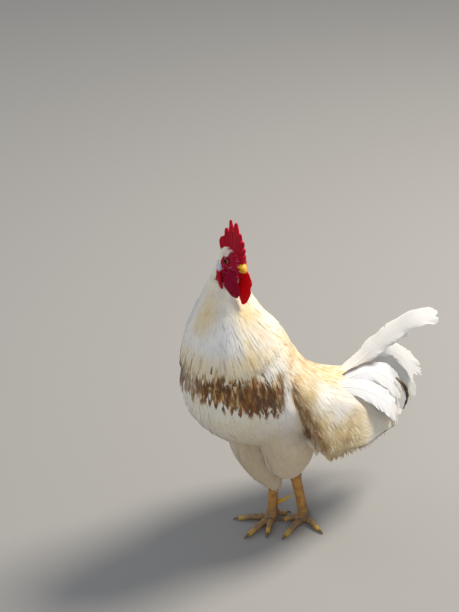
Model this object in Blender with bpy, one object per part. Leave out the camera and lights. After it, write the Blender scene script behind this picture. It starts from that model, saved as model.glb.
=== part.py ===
"""A life-size rooster in an alert stance: the body faces -Y, the head is turned to the bird's left.

Units are metres, +Z is up and +X is the bird's left. The model is built over a point between the
feet and is then moved so that its own box stands centred on the origin. Every piece of flesh,
horn or plumage is a closed solid, and neighbours are parted by a thin gap.
"""

import math

import bmesh
import bpy
from mathutils import Matrix, Vector
from mathutils.geometry import delaunay_2d_cdt

# ---- driving dimensions -------------------------------------------------------------------
GAP = 0.0003            # clearance between neighbouring solids
HEAD_CENTRE = Vector((0.010, -0.109, 0.480))
HEAD_YAW = math.radians(80)     # the head's turn to the bird's left, from -Y towards +X
NECK_TOP_DROP = 0.034   # the head's lower cut, under the skull's centre
SHANK_RADIUS = 0.0066
EYE_RADIUS = 0.0047

COLOURS = {
    "plumage": ((0.86, 0.82, 0.71), 0.85),
    "hackle": ((0.86, 0.78, 0.58), 0.80),
    "tail": ((0.92, 0.91, 0.86), 0.75),
    "comb_red": ((0.55, 0.02, 0.04), 0.50),
    "lobe_white": ((0.85, 0.83, 0.82), 0.60),
    "bill_yellow": ((0.85, 0.52, 0.06), 0.40),
    "leg_yellow": ((0.66, 0.42, 0.13), 0.60),
    "claw_horn": ((0.25, 0.19, 0.12), 0.45),
    "eye": ((0.10, 0.04, 0.02), 0.10),
}


# ---- scene and materials ------------------------------------------------------------------
def clear_scene():
    for old in list(bpy.data.objects):
        bpy.data.objects.remove(old)


def material(slot):
    made = bpy.data.materials.get(slot)
    if made:
        return made
    colour, roughness = COLOURS[slot]
    made = bpy.data.materials.new(slot)
    made.use_nodes = True
    shader = made.node_tree.nodes["Principled BSDF"]
    shader.inputs["Base Color"].default_value = (*colour, 1.0)
    shader.inputs["Roughness"].default_value = roughness
    shader.inputs["Metallic"].default_value = 0.0
    return made


def add_object(name, mesh, slot):
    mesh.materials.clear()
    mesh.materials.append(material(slot))
    mesh.shade_smooth()
    mesh.set_sharp_from_angle(angle=math.radians(50))
    made = bpy.data.objects.new(name, mesh)
    bpy.context.scene.collection.objects.link(made)
    return made


# ---- lofting ------------------------------------------------------------------------------
def smooth_rows(rows, steps):
    """Catmull-Rom through rows of numbers or vectors, with `steps` rows to each span."""
    rows = [tuple(float(n) for n in row) for row in rows]
    padded = [rows[0], *rows, rows[-1]]
    found = []
    for first, a, b, last in zip(padded, padded[1:], padded[2:], padded[3:]):
        for step in range(steps):
            t = step / steps
            found.append(tuple(
                0.5 * (2 * p + (q - o) * t + (2 * o - 5 * p + 4 * q - r) * t * t
                       + (3 * p - 3 * q + r - o) * t * t * t)
                for o, p, q, r in zip(first, a, b, last)))
    found.append(rows[-1])
    return found


def oval(centre, side, up, half_width, above, below, sides):
    """A ring of points: an ellipse whose upper and lower halves may differ in depth."""
    ring = []
    for n in range(sides):
        turn = 2 * math.pi * n / sides
        rise = math.sin(turn)
        depth = above if rise > 0 else below
        ring.append(centre + side * (half_width * math.cos(turn)) + up * (depth * rise))
    return ring


def face_outward(shape):
    bmesh.ops.recalc_face_normals(shape, faces=shape.faces[:])
    if shape.calc_volume(signed=True) < 0:
        bmesh.ops.reverse_faces(shape, faces=shape.faces[:])


def loft_mesh(name, rings):
    """A closed skin over rings of equal counts, capped at both ends."""
    shape = bmesh.new()
    loops = [[shape.verts.new(point) for point in ring] for ring in rings]
    count = len(loops[0])
    for lower, upper in zip(loops, loops[1:]):
        for n in range(count):
            after = (n + 1) % count
            shape.faces.new((lower[n], lower[after], upper[after], upper[n]))
    for loop in (loops[0], loops[-1]):
        middle = shape.verts.new(sum((v.co for v in loop), Vector()) / count)
        for n in range(count):
            shape.faces.new((loop[n], loop[(n + 1) % count], middle))
    bmesh.ops.triangulate(shape, faces=shape.faces)
    face_outward(shape)
    mesh = bpy.data.meshes.new(name)
    shape.to_mesh(mesh)
    shape.free()
    return mesh


def limb(name, slot, path, radii, sides=10, flatten=1.0, steps=3, facing=Vector((1, 0, 0))):
    """A tapering round or oval tube along a smooth path. `flatten` scales its depth across `facing`."""
    rows = smooth_rows([(*point, radius) for point, radius in zip(path, radii)], steps)
    centres = [Vector(row[:3]) for row in rows]
    rings = []
    for n, centre in enumerate(centres):
        along = (centres[min(n + 1, len(centres) - 1)] - centres[max(n - 1, 0)]).normalized()
        side = (facing - along * facing.dot(along)).normalized()
        up = along.cross(side)
        radius = rows[n][3]
        rings.append(oval(centre, side, up, radius, radius * flatten, radius * flatten, sides))
    return add_object(name, loft_mesh(name, rings), slot)


def blade(name, slot, rows, steps=3, sides=10):
    """A flat curved solid. A row is its centre, its half width along the chord, half its
    thickness, and the chord's direction, which need not be square to its length."""
    rows = smooth_rows([(*c, width, thick, *chord) for c, width, thick, chord in rows], steps)
    centres = [Vector(row[:3]) for row in rows]
    rings = []
    for n, (centre, row) in enumerate(zip(centres, rows)):
        along = (centres[min(n + 1, len(rows) - 1)] - centres[max(n - 1, 0)]).normalized()
        chord = Vector(row[5:8]).normalized()
        normal = along.cross(chord).normalized()
        rings.append(oval(centre, chord, normal, row[3], row[4], row[4], sides))
    return add_object(name, loft_mesh(name, rings), slot)


# ---- cutting and joining ------------------------------------------------------------------
def boolean(target, other, operation):
    step = target.modifiers.new("join", "BOOLEAN")
    step.operation = operation
    step.solver = "EXACT"
    step.object = other
    bpy.context.view_layer.update()
    graph = bpy.context.evaluated_depsgraph_get()
    result = bpy.data.meshes.new_from_object(target.evaluated_get(graph))
    target.modifiers.clear()
    target.data = result


def union(target, *others):
    """Joins shapes that overlap into the first of them."""
    for other in others:
        boolean(target, other, "UNION")
        bpy.data.objects.remove(other)
    return target


def grown(obj, gap=GAP):
    """A helper copy of a solid, with its surface moved out by the gap."""
    shape = bmesh.new()
    shape.from_mesh(obj.data)
    bmesh.ops.remove_doubles(shape, verts=shape.verts, dist=GAP)
    bmesh.ops.dissolve_degenerate(shape, edges=shape.edges, dist=GAP)
    bmesh.ops.triangulate(shape, faces=shape.faces)
    shape.normal_update()
    for vert in shape.verts:
        vert.co += vert.normal * (gap * vert.calc_shell_factor())
    mesh = bpy.data.meshes.new(obj.name + "_grown")
    shape.to_mesh(mesh)
    shape.free()
    helper = bpy.data.objects.new(mesh.name, mesh)
    bpy.context.scene.collection.objects.link(helper)
    return helper


def keep_largest(obj):
    """Drops the loose crumbs that a cut can leave."""
    shape = bmesh.new()
    shape.from_mesh(obj.data)
    left = set(shape.verts)
    groups = []
    while left:
        group, todo = set(), [left.pop()]
        while todo:
            vert = todo.pop()
            group.add(vert)
            for edge in vert.link_edges:
                other = edge.other_vert(vert)
                if other in left:
                    left.discard(other)
                    todo.append(other)
        groups.append(group)
    groups.sort(key=len)
    crumbs = [vert for group in groups[:-1] for vert in group]
    bmesh.ops.delete(shape, geom=crumbs, context="VERTS")
    shape.to_mesh(obj.data)
    shape.free()


def clear_of(obj, *neighbours):
    """Cuts each neighbour, with a little clearance, out of obj."""
    for neighbour in neighbours:
        helper = grown(neighbour)
        boolean(obj, helper, "DIFFERENCE")
        bpy.data.objects.remove(helper)
    keep_largest(obj)
    return obj


def half_of(obj, point, outward):
    """Cuts off all that lies beyond a plane, and closes the cut."""
    shape = bmesh.new()
    shape.from_mesh(obj.data)
    geometry = [*shape.verts, *shape.edges, *shape.faces]
    cut = bmesh.ops.bisect_plane(
        shape, geom=geometry, dist=1e-6, plane_co=point, plane_no=outward, clear_outer=True)
    edges = [e for e in cut["geom_cut"] if isinstance(e, bmesh.types.BMEdge)]
    bmesh.ops.holes_fill(shape, edges=edges)
    face_outward(shape)
    shape.to_mesh(obj.data)
    shape.free()
    return obj


def copy_of(obj, name):
    made = bpy.data.objects.new(name, obj.data.copy())
    bpy.context.scene.collection.objects.link(made)
    return made


# ---- trunk and neck -----------------------------------------------------------------------
# Each row: the centre's x, y and z, the spine's slope in degrees towards the head, half width, the
# depth above the centre and the depth below it. They run from the rump to the inside of the skull.
BODY = (
    (0.000, 0.160, 0.177, 0, 0.015, 0.019, 0.020),
    (0.000, 0.137, 0.178, 5, 0.036, 0.035, 0.040),
    (0.000, 0.095, 0.186, 12, 0.052, 0.042, 0.050),
    (0.000, 0.045, 0.205, 20, 0.061, 0.046, 0.056),
    (0.000, -0.010, 0.228, 30, 0.066, 0.061, 0.070),
    (0.000, -0.060, 0.258, 45, 0.073, 0.080, 0.084),
    (0.000, -0.088, 0.298, 62, 0.076, 0.078, 0.092),
    (0.000, -0.097, 0.342, 77, 0.070, 0.072, 0.082),
    (-0.003, -0.105, 0.378, 87, 0.057, 0.056, 0.061),
    (-0.007, -0.108, 0.410, 90, 0.038, 0.040, 0.040),
    (-0.011, -0.106, 0.440, 90, 0.022, 0.024, 0.023),
    (-0.008, -0.107, 0.460, 90, 0.0165, 0.0170, 0.0170),
    (-0.002, -0.109, 0.474, 90, 0.012, 0.012, 0.012),
)
BODY_SIDES = 18


def make_body():
    rings = []
    for x, y, z, slope, half_width, above, below in smooth_rows(BODY, 2):
        slope = math.radians(slope)
        up = Vector((0, math.sin(slope), math.cos(slope)))
        rings.append(oval(Vector((x, y, z)), Vector((1, 0, 0)), up, half_width, above, below, BODY_SIDES))
    return add_object("trunk", loft_mesh("trunk", rings), "plumage")


NECK_CUT = (Vector((0, -0.075, 0.345)), Vector((0, -0.34, 0.94)).normalized())


def part_body(body):
    """Parts the whole body into trunk, neck and the throat that belongs to the head."""
    neck, throat = copy_of(body, "neck"), copy_of(body, "throat")
    point, upward = NECK_CUT
    half_of(body, point - upward * GAP / 2, upward)
    half_of(neck, point + upward * GAP / 2, -upward)
    top = HEAD_CENTRE - Vector((0, 0, NECK_TOP_DROP))
    half_of(neck, top - Vector((0, 0, GAP / 2)), Vector((0, 0, 1)))
    half_of(throat, top + Vector((0, 0, GAP / 2)), Vector((0, 0, -1)))
    neck.data.materials.clear()
    neck.data.materials.append(material("hackle"))
    return neck, throat


# ---- head ---------------------------------------------------------------------------------
# The head is modelled looking along its own x, with y to its left, and then set on the neck.
HEAD_FRAME = Matrix.Translation(HEAD_CENTRE) @ Matrix.Rotation(HEAD_YAW - math.pi / 2, 4, "Z")
# Forward place, height of the centre line, half width, depth above and below.
SKULL = (
    (-0.0245, -0.004, 0.0040, 0.0050, 0.0060),
    (-0.0210, -0.003, 0.0095, 0.0105, 0.0140),
    (-0.0130, -0.002, 0.0138, 0.0145, 0.0190),
    (-0.0030, -0.001, 0.0148, 0.0155, 0.0200),
    (0.0070, -0.001, 0.0134, 0.0140, 0.0180),
    (0.0145, -0.001, 0.0106, 0.0110, 0.0145),
    (0.0195, -0.002, 0.0080, 0.0080, 0.0108),
    (0.0225, -0.003, 0.0052, 0.0050, 0.0070),
)
EYE_PLACE = Vector((0.0030, 0.0106, 0.0012))
BILL_UPPER = (
    (0.0130, -0.0010, 0.0082, 0.0056, 0.0040),
    (0.0200, -0.0010, 0.0076, 0.0052, 0.0040),
    (0.0265, -0.0022, 0.0058, 0.0046, 0.0036),
    (0.0320, -0.0042, 0.0036, 0.0034, 0.0032),
    (0.0355, -0.0072, 0.0015, 0.0020, 0.0024),
)
BILL_LOWER = (
    (0.0120, -0.0080, 0.0074, 0.0034, 0.0040),
    (0.0185, -0.0084, 0.0066, 0.0034, 0.0034),
    (0.0250, -0.0092, 0.0048, 0.0030, 0.0026),
    (0.0305, -0.0102, 0.0022, 0.0020, 0.0015),
)


def along_head(name, slot, rows, sides, steps=2):
    """A loft along the head's own axis, from rows as in SKULL."""
    rings = [
        oval(Vector((x, 0, z)), Vector((0, 1, 0)), Vector((0, 0, 1)), half, above, below, sides)
        for x, z, half, above, below in smooth_rows(rows, steps)]
    mesh = loft_mesh(name, rings)
    mesh.transform(HEAD_FRAME)
    return add_object(name, mesh, slot)


def make_eye(name, side):
    shape = bmesh.new()
    bmesh.ops.create_uvsphere(shape, u_segments=12, v_segments=8, radius=EYE_RADIUS)
    mesh = bpy.data.meshes.new(name)
    shape.to_mesh(mesh)
    shape.free()
    place = EYE_PLACE * 1.0
    place.y *= side
    mesh.transform(HEAD_FRAME @ Matrix.Translation(place))
    return add_object(name, mesh, "eye")


# The comb's points, front to back, in the head's plane: the notch before each and its tip.
COMB_POINTS = (
    ((0.0258, 0.0080), (0.0280, 0.0125)),
    ((0.0250, 0.0165), (0.0268, 0.0225)),
    ((0.0232, 0.0250), (0.0238, 0.0325)),
    ((0.0185, 0.0320), (0.0170, 0.0420)),
    ((0.0130, 0.0370), (0.0062, 0.0530)),
    ((-0.0010, 0.0365), (-0.0080, 0.0515)),
    ((-0.0105, 0.0290), (-0.0160, 0.0375)),
)
COMB_FRONT = Vector((0.0235, 0.0000))
COMB_BACK = (Vector((-0.0178, 0.0262)), Vector((-0.0245, 0.0225)), Vector((-0.0272, 0.0160)),
             Vector((-0.0262, 0.0085)), Vector((-0.0215, 0.0000)))
COMB_THICKNESS = 0.0054
COMB_TIP_THICKNESS = 0.0026
COMB_LEAN = 0.0006      # how far the comb's front stands to the bird's left
COMB_BEND = 0.0060      # how far its free back falls to the bird's right


def comb_outline():
    """The comb's edge in its own plane, from the front of the base round to its back."""
    edge = [COMB_FRONT]
    following = [Vector(notch) for notch, tip in COMB_POINTS[1:]] + [COMB_BACK[0]]
    for (notch, tip), after in zip(COMB_POINTS, following):
        notch, tip = Vector(notch), Vector(tip)
        across = (after - notch).normalized() * min(0.0011, (tip - notch).length * 0.16)
        edge += [notch, notch.lerp(tip, 0.55) - across, tip - across, tip + across,
                 after.lerp(tip, 0.55) + across]
    return edge + list(COMB_BACK)


def make_comb():
    shape = bmesh.new()
    edge = comb_outline()
    inner = [Vector((x / 1000, z / 1000)) for x in range(-20, 24, 8) for z in range(6, 46, 9)]
    places, _, triangles, *_ = delaunay_2d_cdt(edge + inner, [], [list(range(len(edge)))], 1, 1e-6)
    flat = {}
    for corners in triangles:
        for n in corners:
            if n not in flat:
                flat[n] = shape.verts.new((places[n].x, 0, places[n].y))
        shape.faces.new([flat[n] for n in corners])
    rim = [tuple(edge.verts) for edge in shape.edges if edge.is_boundary]
    far = {vert: shape.verts.new(vert.co) for vert in shape.verts[:]}
    for near in shape.faces[:]:
        shape.faces.new([far[vert] for vert in near.verts])
    for start, end in rim:
        shape.faces.new((start, end, far[end], far[start]))
    far = set(far.values())
    for vert in shape.verts:
        thin = min(1.0, max(0.0, vert.co.z / 0.050))
        half = (COMB_THICKNESS * (1 - thin) + COMB_TIP_THICKNESS * thin) / 2
        ahead = max(0.0, vert.co.x + 0.004) / 0.030
        behind = max(0.0, -vert.co.x - 0.004) / 0.026
        vert.co.y = (half if vert in far else -half) + COMB_LEAN * ahead - COMB_BEND * behind ** 1.5
    face_outward(shape)
    mesh = bpy.data.meshes.new("comb")
    shape.to_mesh(mesh)
    shape.free()
    mesh.transform(HEAD_FRAME)
    return add_object("comb", mesh, "comb_red")


def hanging_lobe(name, slot, root, length, half_width, half_thick, side, splay, drift, rise=0.0):
    """A flat drop of skin that hangs from `root` in the head's frame, turned outwards by `splay`."""
    rows = []
    for t, wide, thick in ((0.0, 0.42, 0.9), (0.15, 0.70, 1.0), (0.40, 0.97, 1.0),
                           (0.65, 1.0, 0.9), (0.85, 0.74, 0.8), (0.96, 0.38, 0.6), (1.0, 0.12, 0.35)):
        bulge = math.sin(math.pi * min(1.0, t)) * 0.004
        centre = root + Vector((drift * t, side * (bulge + rise * t), -length * t))
        chord = Vector((math.cos(splay), side * math.sin(splay), 0))
        rows.append((centre, half_width * wide, half_thick * thick, chord))
    made = blade(name, slot, rows, steps=1, sides=8)
    made.data.transform(HEAD_FRAME)
    return made


def make_head(throat, neck):
    head = union(along_head("head", "comb_red", SKULL, 16), throat)
    upper = along_head("beak_upper", "bill_yellow", BILL_UPPER, 12)
    lower = along_head("beak_lower", "bill_yellow", BILL_LOWER, 10)
    clear_of(make_comb(), head, upper)
    for name, side, length, width, splay in (
            ("wattle_left", 1, 0.049, 0.0102, 0.60), ("wattle_right", -1, 0.037, 0.0115, -0.55)):
        root = Vector((0.0100, side * 0.0076, -0.0110))
        wattle = hanging_lobe(name, "comb_red", root, length, width, 0.0024, side, splay, 0.007)
        clear_of(wattle, head, lower, neck)
    for name, side in (("earlobe_left", 1), ("earlobe_right", -1)):
        root = Vector((-0.0140, side * 0.0120, -0.0060))
        lobe = hanging_lobe(
            name, "lobe_white", root, 0.0340, 0.0052, 0.0026, side, 0.15, 0.014, rise=0.0050)
        clear_of(lobe, head, neck)
    clear_of(lower, head, upper)
    clear_of(upper, head)
    for name, side in (("eye_left", 1), ("eye_right", -1)):
        clear_of(head, make_eye(name, side))


# ---- legs and feet ------------------------------------------------------------------------
# Each shank's foot on the floor and its hock, the lowest point of its feathers, and its toes: the
# heading of each in degrees from -Y towards the bird's left, and its length.
LEGS = {
    "right": {
        "side": -1, "foot": Vector((-0.0130, -0.0165, 0)), "hock": Vector((-0.0150, -0.0120, 0.100)),
        "hem": 0.058, "heading": 11,
        "toes": (("outer", -36, 0.050), ("middle", 11, 0.055), ("inner", 40, 0.038),
                 ("hind", 172, 0.024))},
    "left": {
        "side": 1, "foot": Vector((0.0166, 0.0205, 0)), "hock": Vector((0.0205, -0.0030, 0.102)),
        "hem": 0.101, "heading": 16,
        "toes": (("outer", 88, 0.036), ("middle", 18, 0.052), ("inner", -30, 0.029),
                 ("hind", 226, 0.024))},
}
TOE_RADII = {"outer": 0.0052, "middle": 0.0058, "inner": 0.0053, "hind": 0.0046}
CLAW_LENGTH = 0.012
PAD_RADIUS = 0.0095
SOLE_RISE = 0.72        # share of a toe's radius that its axis lies above the floor


def floor_cut(obj):
    """Takes off what would lie under the floor, which leaves a flat to stand on."""
    return half_of(obj, Vector((0, 0, 0)), Vector((0, 0, -1)))


def compass(degrees):
    turn = math.radians(degrees)
    return Vector((math.sin(turn), -math.cos(turn), 0))


def make_toe(leg, name, ankle, heading, length, root_radius):
    """A toe of three or four swollen joints that lies on the floor, and its claw."""
    ahead = compass(heading)
    lift = 0.012 if name == "hind" else 0.0
    path, radii = [], []
    joints = 3 if name == "hind" else 4
    for n in range(2 * joints + 1):
        t = n / (2 * joints)
        reach = PAD_RADIUS * 0.6 * (1 - t) + length * t
        radius = root_radius * (1.0 - 0.38 * t) * (1.08 if n % 2 == 0 else 0.94)
        rise = radius * SOLE_RISE + lift * max(0.0, 1 - t / 0.55) ** 2 + 0.0022 * math.sin(math.pi * t)
        path.append(ankle + ahead * reach + Vector((0, 0, rise)))
        radii.append(radius)
    toe = limb(f"toe_{name}_{leg}", "leg_yellow", path, radii, sides=8, steps=1, facing=Vector((0, 0, 1)))
    root = ankle + ahead * (length - 0.0030)
    end = radii[-1]
    claw_path = [root + Vector((0, 0, end * 0.95)),
                 root + ahead * (CLAW_LENGTH * 0.45) + Vector((0, 0, end * 1.05)),
                 root + ahead * (CLAW_LENGTH * 0.80) + Vector((0, 0, end * 0.70)),
                 root + ahead * CLAW_LENGTH + Vector((0, 0, 0.0006))]
    claw = limb(f"claw_{name}_{leg}", "claw_horn", claw_path,
                [end * 0.72, end * 0.62, end * 0.42, 0.0005], sides=6, steps=1,
                facing=Vector((0, 0, 1)))
    return floor_cut(toe), floor_cut(claw)


def make_leg(leg):
    facts = LEGS[leg]
    side, foot, hock = facts["side"], facts["foot"], facts["hock"]
    upward = (hock - foot).normalized()
    ankle = foot + Vector((0, 0, 0.010))
    path = [hock + upward * 0.020, hock + upward * 0.006, hock - upward * 0.004,
            hock - upward * 0.018, (hock + ankle) / 2, ankle + upward * 0.016, ankle]
    radii = [0.0075, 0.0092, 0.0090, 0.0070, SHANK_RADIUS, 0.0070, 0.0086]
    shank = limb(f"shank_{leg}", "leg_yellow", path, radii, sides=10, steps=2, flatten=1.12)
    pad = limb(f"pad_{leg}", "leg_yellow",
               [foot + Vector((0, 0, z)) for z in (-0.001, 0.004, 0.009, 0.013)],
               [PAD_RADIUS, PAD_RADIUS, PAD_RADIUS * 0.92, 0.0050], sides=10, steps=1)
    union(shank, pad)
    floor_cut(shank)
    toes = []
    for name, heading, length in facts["toes"]:
        toe, claw = make_toe(leg, name, foot, heading, length, TOE_RADII[name])
        clear_of(claw, toe)
        toes.append(clear_of(toe, *toes))
    for toe in toes:
        clear_of(toe, shank)
    inward = compass(facts["heading"] + 180 + side * 50)
    base = foot + upward * 0.030 + inward * (SHANK_RADIUS * 0.5)
    spur_path = [base + inward * reach + Vector((0, 0, rise))
                 for reach, rise in ((0.0, 0.0), (0.007, 0.0026), (0.016, 0.0080), (0.0245, 0.0150))]
    spur = limb(f"spur_{leg}", "bill_yellow", spur_path, [0.0042, 0.0036, 0.0026, 0.0008], sides=8, steps=1)
    clear_of(spur, shank)
    return shank


def make_thigh(leg, shank, body):
    """The feathered drumstick, which fills the space between the body and the hock."""
    facts = LEGS[leg]
    side, hock = facts["side"], facts["hock"]
    hip = Vector((side * 0.034, -0.030, 0.190))
    hem = hock.lerp(facts["foot"], (hock.z - facts["hem"]) / hock.z)
    path = [hip, hip.lerp(hem, 0.35) + Vector((side * 0.006, -0.010, 0)),
            hip.lerp(hem, 0.70) + Vector((side * 0.002, -0.007, 0)),
            hem + Vector((0, -0.001, 0.012)), hem]
    thigh = limb(f"thigh_{leg}", "plumage", path, [0.038, 0.036, 0.024, 0.0135, 0.0105],
                 sides=12, flatten=1.15)
    half_of(thigh, Vector((side * GAP / 2, 0, 0)), Vector((-side, 0, 0)))
    return clear_of(thigh, shank, body)


# ---- wings --------------------------------------------------------------------------------
# Centre, half chord, half thickness and chord of the folded left wing, from shoulder to tip.
WING = (
    ((0.054, -0.064, 0.286), 0.008, 0.003, (-0.25, -0.40, 0.90)),
    ((0.062, -0.046, 0.270), 0.030, 0.007, (-0.20, -0.34, 0.92)),
    ((0.070, -0.021, 0.229), 0.064, 0.010, (-0.15, -0.18, 0.97)),
    ((0.070, 0.006, 0.212), 0.061, 0.012, (-0.17, -0.16, 0.97)),
    ((0.067, 0.046, 0.194), 0.050, 0.011, (-0.18, -0.04, 0.97)),
    ((0.059, 0.086, 0.172), 0.044, 0.010, (-0.18, 0.0, 0.98)),
    ((0.048, 0.126, 0.153), 0.032, 0.008, (-0.16, 0.0, 0.98)),
    ((0.038, 0.160, 0.1325), 0.020, 0.005, (-0.14, 0.0, 0.98)),
    ((0.032, 0.188, 0.114), 0.006, 0.0015, (-0.14, 0.0, 0.98)),
)


def make_wing(leg, side):
    rows = [((side * c[0], c[1], c[2]), half, thick, chord) for c, half, thick, chord in WING]
    return blade(f"wing_{leg}", "plumage", rows, steps=2, sides=12)


# ---- tail ---------------------------------------------------------------------------------
# Centre, half width, half thickness and chord of each group of tail feathers, root to tip.
TAIL = {
    "tail_upper": ("tail", (
        ((0.004, 0.088, 0.218), 0.011, 0.0030, (-0.35, -0.5, 0.80)),
        ((0.006, 0.122, 0.234), 0.013, 0.0028, (-0.45, -0.35, 0.83)),
        ((0.010, 0.150, 0.2525), 0.0135, 0.0024, (-0.55, -0.20, 0.81)),
        ((0.019, 0.186, 0.276), 0.0135, 0.0020, (-0.55, -0.15, 0.82)),
        ((0.031, 0.219, 0.2885), 0.0125, 0.0018, (-0.50, -0.10, 0.85)),
        ((0.039, 0.243, 0.2895), 0.0095, 0.0014, (-0.45, -0.05, 0.88)),
        ((0.044, 0.258, 0.2855), 0.0045, 0.0010, (-0.45, 0.0, 0.88)))),
    "sickle_right": ("tail", (
        ((-0.006, 0.095, 0.212), 0.010, 0.0032, (-0.20, -0.4, 0.88)),
        ((-0.002, 0.138, 0.230), 0.012, 0.0028, (-0.30, -0.3, 0.90)),
        ((0.004, 0.176, 0.2345), 0.0125, 0.0024, (-0.30, 0.1, 0.94)),
        ((0.010, 0.202, 0.2205), 0.0135, 0.0022, (-0.20, 0.5, 0.84)),
        ((0.016, 0.2205, 0.201), 0.0155, 0.0020, (-0.10, 0.65, 0.75)),
        ((0.022, 0.236, 0.1765), 0.0168, 0.0018, (0.0, 0.75, 0.66)),
        ((0.026, 0.2345, 0.155), 0.0090, 0.0014, (0.0, 0.85, 0.52)),
        ((0.030, 0.2315, 0.138), 0.0030, 0.0010, (0.0, 0.9, 0.43)))),
    "sickle_left": ("tail", (
        ((0.020, 0.074, 0.231), 0.006, 0.0030, (-0.10, -0.3, 0.94)),
        ((0.024, 0.116, 0.232), 0.0110, 0.0030, (-0.20, 0.1, 0.95)),
        ((0.028, 0.144, 0.2225), 0.0165, 0.0026, (-0.15, 0.3, 0.93)),
        ((0.032, 0.1625, 0.207), 0.0165, 0.0022, (-0.10, 0.5, 0.85)),
        ((0.036, 0.180, 0.187), 0.0110, 0.0018, (0.0, 0.65, 0.75)),
        ((0.038, 0.192, 0.169), 0.0060, 0.0015, (0.0, 0.8, 0.6)),
        ((0.038, 0.195, 0.143), 0.0025, 0.0010, (0.0, 0.98, 0.2)))),
    "covert_right": ("tail", (
        ((-0.022, 0.088, 0.204), 0.006, 0.0030, (0.10, -0.3, 0.94)),
        ((-0.026, 0.118, 0.206), 0.0105, 0.0030, (0.20, 0.1, 0.95)),
        ((-0.028, 0.144, 0.200), 0.0145, 0.0026, (0.15, 0.3, 0.93)),
        ((-0.029, 0.163, 0.187), 0.0135, 0.0022, (0.10, 0.5, 0.85)),
        ((-0.030, 0.179, 0.168), 0.0090, 0.0018, (0, 0.65, 0.75)),
        ((-0.030, 0.187, 0.151), 0.0030, 0.0012, (0, 0.8, 0.6)))),
    "tail_fan": ("tail", (
        ((-0.013, 0.100, 0.204), 0.012, 0.0040, (0, -0.1, 0.99)),
        ((-0.013, 0.140, 0.212), 0.018, 0.0040, (0, -0.1, 0.99)),
        ((-0.012, 0.175, 0.213), 0.018, 0.0034, (0, -0.1, 0.99)),
        ((-0.010, 0.200, 0.213), 0.012, 0.0024, (0, -0.1, 0.99)),
        ((-0.008, 0.212, 0.212), 0.005, 0.0014, (0, -0.1, 0.99)))),
    "tail_lower": ("tail", (
        ((0.000, 0.110, 0.186), 0.026, 0.014, (1, 0, 0)),
        ((0.004, 0.140, 0.180), 0.026, 0.014, (1, 0, 0)),
        ((0.010, 0.162, 0.167), 0.020, 0.010, (1, 0, 0)),
        ((0.016, 0.177, 0.152), 0.009, 0.003, (1, 0, 0)))),
}


def make_tail(body):
    placed = []
    for name, (slot, rows) in TAIL.items():
        rows = [(c, half, thick, Vector(chord).normalized()) for c, half, thick, chord in rows]
        placed.append(clear_of(blade(name, slot, rows, steps=2, sides=8), body, *placed))
    return placed


# ---- the whole bird -----------------------------------------------------------------------
def stand_at_origin():
    """Moves everything so that the box's lowest face is centred on the origin."""
    solids = [o for o in bpy.context.scene.objects if not o.hide_render]
    corners = [v.co for o in solids for v in o.data.vertices]
    low = Vector([min(c[k] for c in corners) for k in range(3)])
    high = Vector([max(c[k] for c in corners) for k in range(3)])
    shift = Vector((-(low.x + high.x) / 2, -(low.y + high.y) / 2, -low.z))
    for o in solids:
        o.data.transform(Matrix.Translation(shift))


def main():
    clear_scene()
    body = make_body()
    neck, throat = part_body(body)
    make_head(throat, neck)
    wings = [make_wing("left", 1), make_wing("right", -1)]
    clear_of(body, *wings)
    clear_of(neck, *wings)
    shanks = {leg: make_leg(leg) for leg in LEGS}
    for leg, shank in shanks.items():
        clear_of(make_thigh(leg, shank, body), *wings)
    make_tail(body)
    stand_at_origin()


main()
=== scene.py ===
import math
from itertools import product

import bmesh
import bpy
import numpy as np
from mathutils import Matrix, Vector, noise
from mathutils.bvhtree import BVHTree


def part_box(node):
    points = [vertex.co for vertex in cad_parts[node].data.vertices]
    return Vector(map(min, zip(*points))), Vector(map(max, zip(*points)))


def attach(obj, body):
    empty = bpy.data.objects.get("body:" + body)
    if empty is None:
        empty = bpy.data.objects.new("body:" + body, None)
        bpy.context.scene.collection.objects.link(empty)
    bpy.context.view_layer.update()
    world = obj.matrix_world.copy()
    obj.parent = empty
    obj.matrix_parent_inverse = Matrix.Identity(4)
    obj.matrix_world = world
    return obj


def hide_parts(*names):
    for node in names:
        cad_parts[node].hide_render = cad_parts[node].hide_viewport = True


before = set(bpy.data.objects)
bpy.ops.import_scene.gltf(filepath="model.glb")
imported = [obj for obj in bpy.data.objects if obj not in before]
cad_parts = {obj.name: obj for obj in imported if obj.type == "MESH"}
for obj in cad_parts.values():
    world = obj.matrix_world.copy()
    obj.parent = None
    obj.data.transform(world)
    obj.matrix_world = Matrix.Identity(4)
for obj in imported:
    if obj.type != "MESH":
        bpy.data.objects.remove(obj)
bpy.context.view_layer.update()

# ---- floor, light and camera ---------------------------------------------------------------
# A plain pale floor under soft daylight, brighter from above the tail, as in a bright studio.
# The camera looks a little down on the front and the left side of the bird.
def set_inputs(node, **inputs):
    """Sets a node's inputs by name, with `_` for a space."""
    for key, value in inputs.items():
        node.inputs[key.replace("_", " ")].default_value = value


def add_node(material, kind, **inputs):
    made = material.node_tree.nodes.new(kind)
    set_inputs(made, **inputs)
    return made


def link(material, *wires):
    """Joins nodes. Each wire is a node, its output, the next node, and its input."""
    for source, output, target, socket in wires:
        material.node_tree.links.new(source.outputs[output], target.inputs[socket])


def shader_of(material):
    return material.node_tree.nodes["Principled BSDF"]


def plain_material(name, colour, roughness, **inputs):
    made = bpy.data.materials.new(name)
    made.use_nodes = True
    set_inputs(shader_of(made), Base_Color=(*colour, 1.0), Roughness=roughness, **inputs)
    return made


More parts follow.
